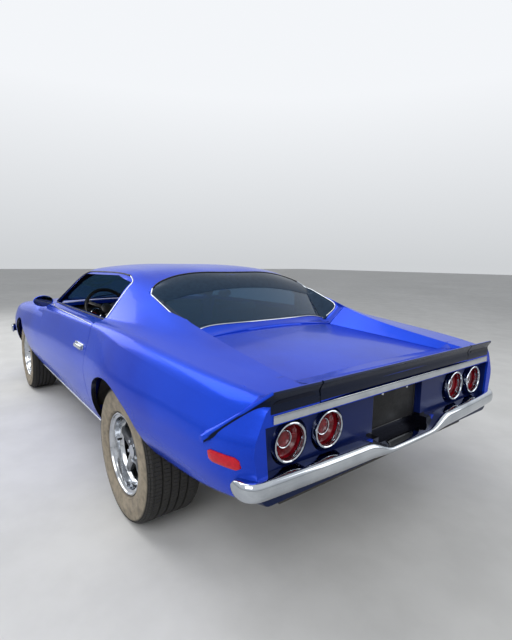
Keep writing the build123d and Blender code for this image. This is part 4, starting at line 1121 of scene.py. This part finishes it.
# Camera, floor and light
CAMERA_AT = (-3.2616, 1.5275, 1.3104)
CAMERA_RIGHT = (-0.61042, -0.79198, 0.01248)
CAMERA_UP = (0.11838, -0.07564, 0.99008)
CAMERA_BACK = (-0.78318, 0.60585, 0.13993)
camera = linked("camera", bpy.data.cameras.new("camera"))
camera.data.lens = 23.06
camera.matrix_world = Matrix.Translation(CAMERA_AT) @ Matrix(
    (CAMERA_RIGHT, CAMERA_UP, CAMERA_BACK)).transposed().to_4x4()
bpy.context.scene.camera = camera
bpy.context.scene.view_settings.view_transform = "Standard"

floor_mesh = bmesh.new()
bmesh.ops.create_grid(floor_mesh, x_segments=4, y_segments=4, size=60.0)
floor_data = bpy.data.meshes.new("floor")
floor_mesh.to_mesh(floor_data)
floor_mesh.free()
floor = linked("floor", floor_data)
floor.location.z = -0.001
floor_data.materials.append(grained("pale_floor", (0.6, 0.6, 0.59), (0.66, 0.66, 0.65), 3.0, 0.8, 0.0))

for name, at, size, power in (
        ("key", (-5.0, 5.5, 5.5), 5.0, 300.0), ("over", (1.5, 2.2, 6.5), 5.0, 210.0),
        ("fill", (-6.0, -4.5, 3.0), 4.0, 90.0), ("front", (6.5, 3.0, 4.0), 4.0, 120.0)):
    lamp = bpy.data.lights.new(name, "AREA")
    lamp.size, lamp.energy = size, power
    light = linked(name, lamp)
    light.location = at
    light.rotation_euler = (Vector((0, 0, 0.5)) - Vector(at)).to_track_quat("-Z", "Y").to_euler()

world = bpy.data.worlds.new("studio")
world.use_nodes = True
bpy.context.scene.world = world
tree = world.node_tree
tree.nodes.clear()
# The background shows as a pale ramp to the camera, in reflections and through glass, and lights evenly
aim = added(tree, "SeparateXYZ", Vector=added(tree, "TexCoord").outputs["Generated"])
ramp = added(tree, "ValToRGB", Fac=aim.outputs["Z"])
for end, position, colour in zip(ramp.color_ramp.elements, (0.0, 0.35),
                                 ((0.62, 0.64, 0.66), (0.9, 0.92, 0.95))):
    end.position = position
    end.color = (*colour, 1)
shown = added(tree, "Background", Color=ramp.outputs["Color"])
lighting = added(tree, "Background", Color=(0.93, 0.96, 1.0), Strength=0.42)
rays = added(tree, "LightPath").outputs
seen = maths("MAXIMUM", rays["Is Camera Ray"], rays["Is Glossy Ray"], rays["Is Transmission Ray"])
chooser = added(tree, "MixShader", Fac=seen)
for index, background in ((1, lighting), (2, shown)):
    fed(chooser.inputs[index], background.outputs[0])
added(tree, "OutputWorld", Surface=chooser.outputs[0])
